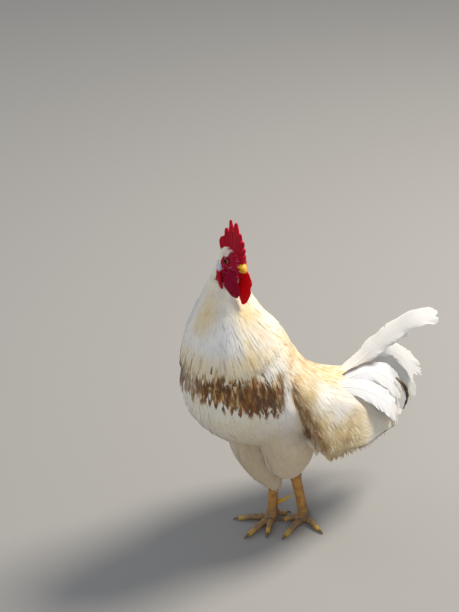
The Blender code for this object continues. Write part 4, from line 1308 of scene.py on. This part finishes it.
plume("tail_sickle_right_low", (
    (-0.010, 0.030, 0.194, 0.006), (-0.005, 0.095, 0.2190, 0.0085), (0.003, 0.133, 0.2180, 0.0095),
    (0.010, 0.160, 0.1960, 0.0110), (0.018, 0.1770, 0.170, 0.0110), (0.025, 0.187, 0.143, 0.0105)),
    (-0.30, -0.25, 0.90), (0.0, 0.88, 0.48), sickle_plume, 12)
left_sickle = plume("tail_sickle_left", (
    (0.018, 0.020, 0.222, 0.006), (0.028, 0.072, 0.2300, 0.0130), (0.033, 0.102, 0.2205, 0.0185),
    (0.037, 0.1210, 0.205, 0.0180), (0.040, 0.138, 0.186, 0.0120), (0.040, 0.149, 0.171, 0.0060)),
    (-0.58, -0.05, 0.80), (-0.42, 0.62, 0.62), edged_plume, 6, splits=1, slope=60.0)
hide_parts("sickle_left")
plume("tail_covert_left", (
    (0.034, 0.000, 0.238, 0.006), (0.050, 0.044, 0.226, 0.0150), (0.0585, 0.078, 0.203, 0.0190),
    (0.059, 0.105, 0.177, 0.0170), (0.054, 0.124, 0.153, 0.0080)),
    (-0.62, 0.00, 0.78), (-0.50, 0.50, 0.68), shade_blue_plume, 14, splits=2, slope=58.0)
plume("tail_covert_side", (
    (0.030, 0.006, 0.226, 0.006), (0.042, 0.062, 0.214, 0.0130), (0.047, 0.092, 0.194, 0.0165),
    (0.048, 0.115, 0.170, 0.0150), (0.046, 0.131, 0.147, 0.0070)),
    (-0.55, 0.00, 0.82), (-0.45, 0.55, 0.66), shade_blue_plume, 16, splits=4)
plume("tail_covert_low", (
    (0.016, 0.020, 0.200, 0.006), (0.028, 0.070, 0.194, 0.0120), (0.034, 0.104, 0.178, 0.0160),
    (0.036, 0.130, 0.154, 0.0140), (0.036, 0.146, 0.132, 0.0070)),
    (-0.50, -0.05, 0.85), (-0.40, 0.62, 0.62), shade_blue_plume, 15, splits=4)
plume("tail_sickle_tip", (
    (0.039, 0.134, 0.203, 0.0010), (0.0435, 0.149, 0.184, 0.0026), (0.0445, 0.1555, 0.163, 0.0026),
    (0.042, 0.152, 0.142, 0.0012)),
    (0.0, 0.70, 0.70), (0.0, 0.98, 0.20), dark_plume, 7, splits=3)
right_covert = plume("tail_covert_right", (
    (-0.020, 0.020, 0.196, 0.006), (-0.026, 0.077, 0.206, 0.0105), (-0.028, 0.103, 0.200, 0.0140),
    (-0.029, 0.122, 0.187, 0.0130), (-0.030, 0.138, 0.168, 0.0090), (-0.030, 0.146, 0.152, 0.0050)),
    (0.55, -0.05, 0.83), (0.40, 0.62, 0.62), shade_blue_plume, 8)
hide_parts("covert_right")
fan = plume("tail_fan_left", (
    (-0.008, 0.020, 0.194, 0.008), (-0.012, 0.099, 0.216, 0.0110), (-0.011, 0.134, 0.2200, 0.0110),
    (-0.009, 0.168, 0.2220, 0.0070)),
    (0.0, -0.1, 0.99), (0.0, -0.1, 0.99), white_plume, 9)
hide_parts("tail_fan")
plume("tail_fan_low", (
    (-0.014, 0.020, 0.186, 0.008), (-0.016, 0.099, 0.203, 0.0110), (-0.015, 0.130, 0.2060, 0.0110),
    (-0.013, 0.160, 0.2050, 0.0070)),
    (0.0, -0.1, 0.99), (0.0, -0.1, 0.99), white_plume, 10)
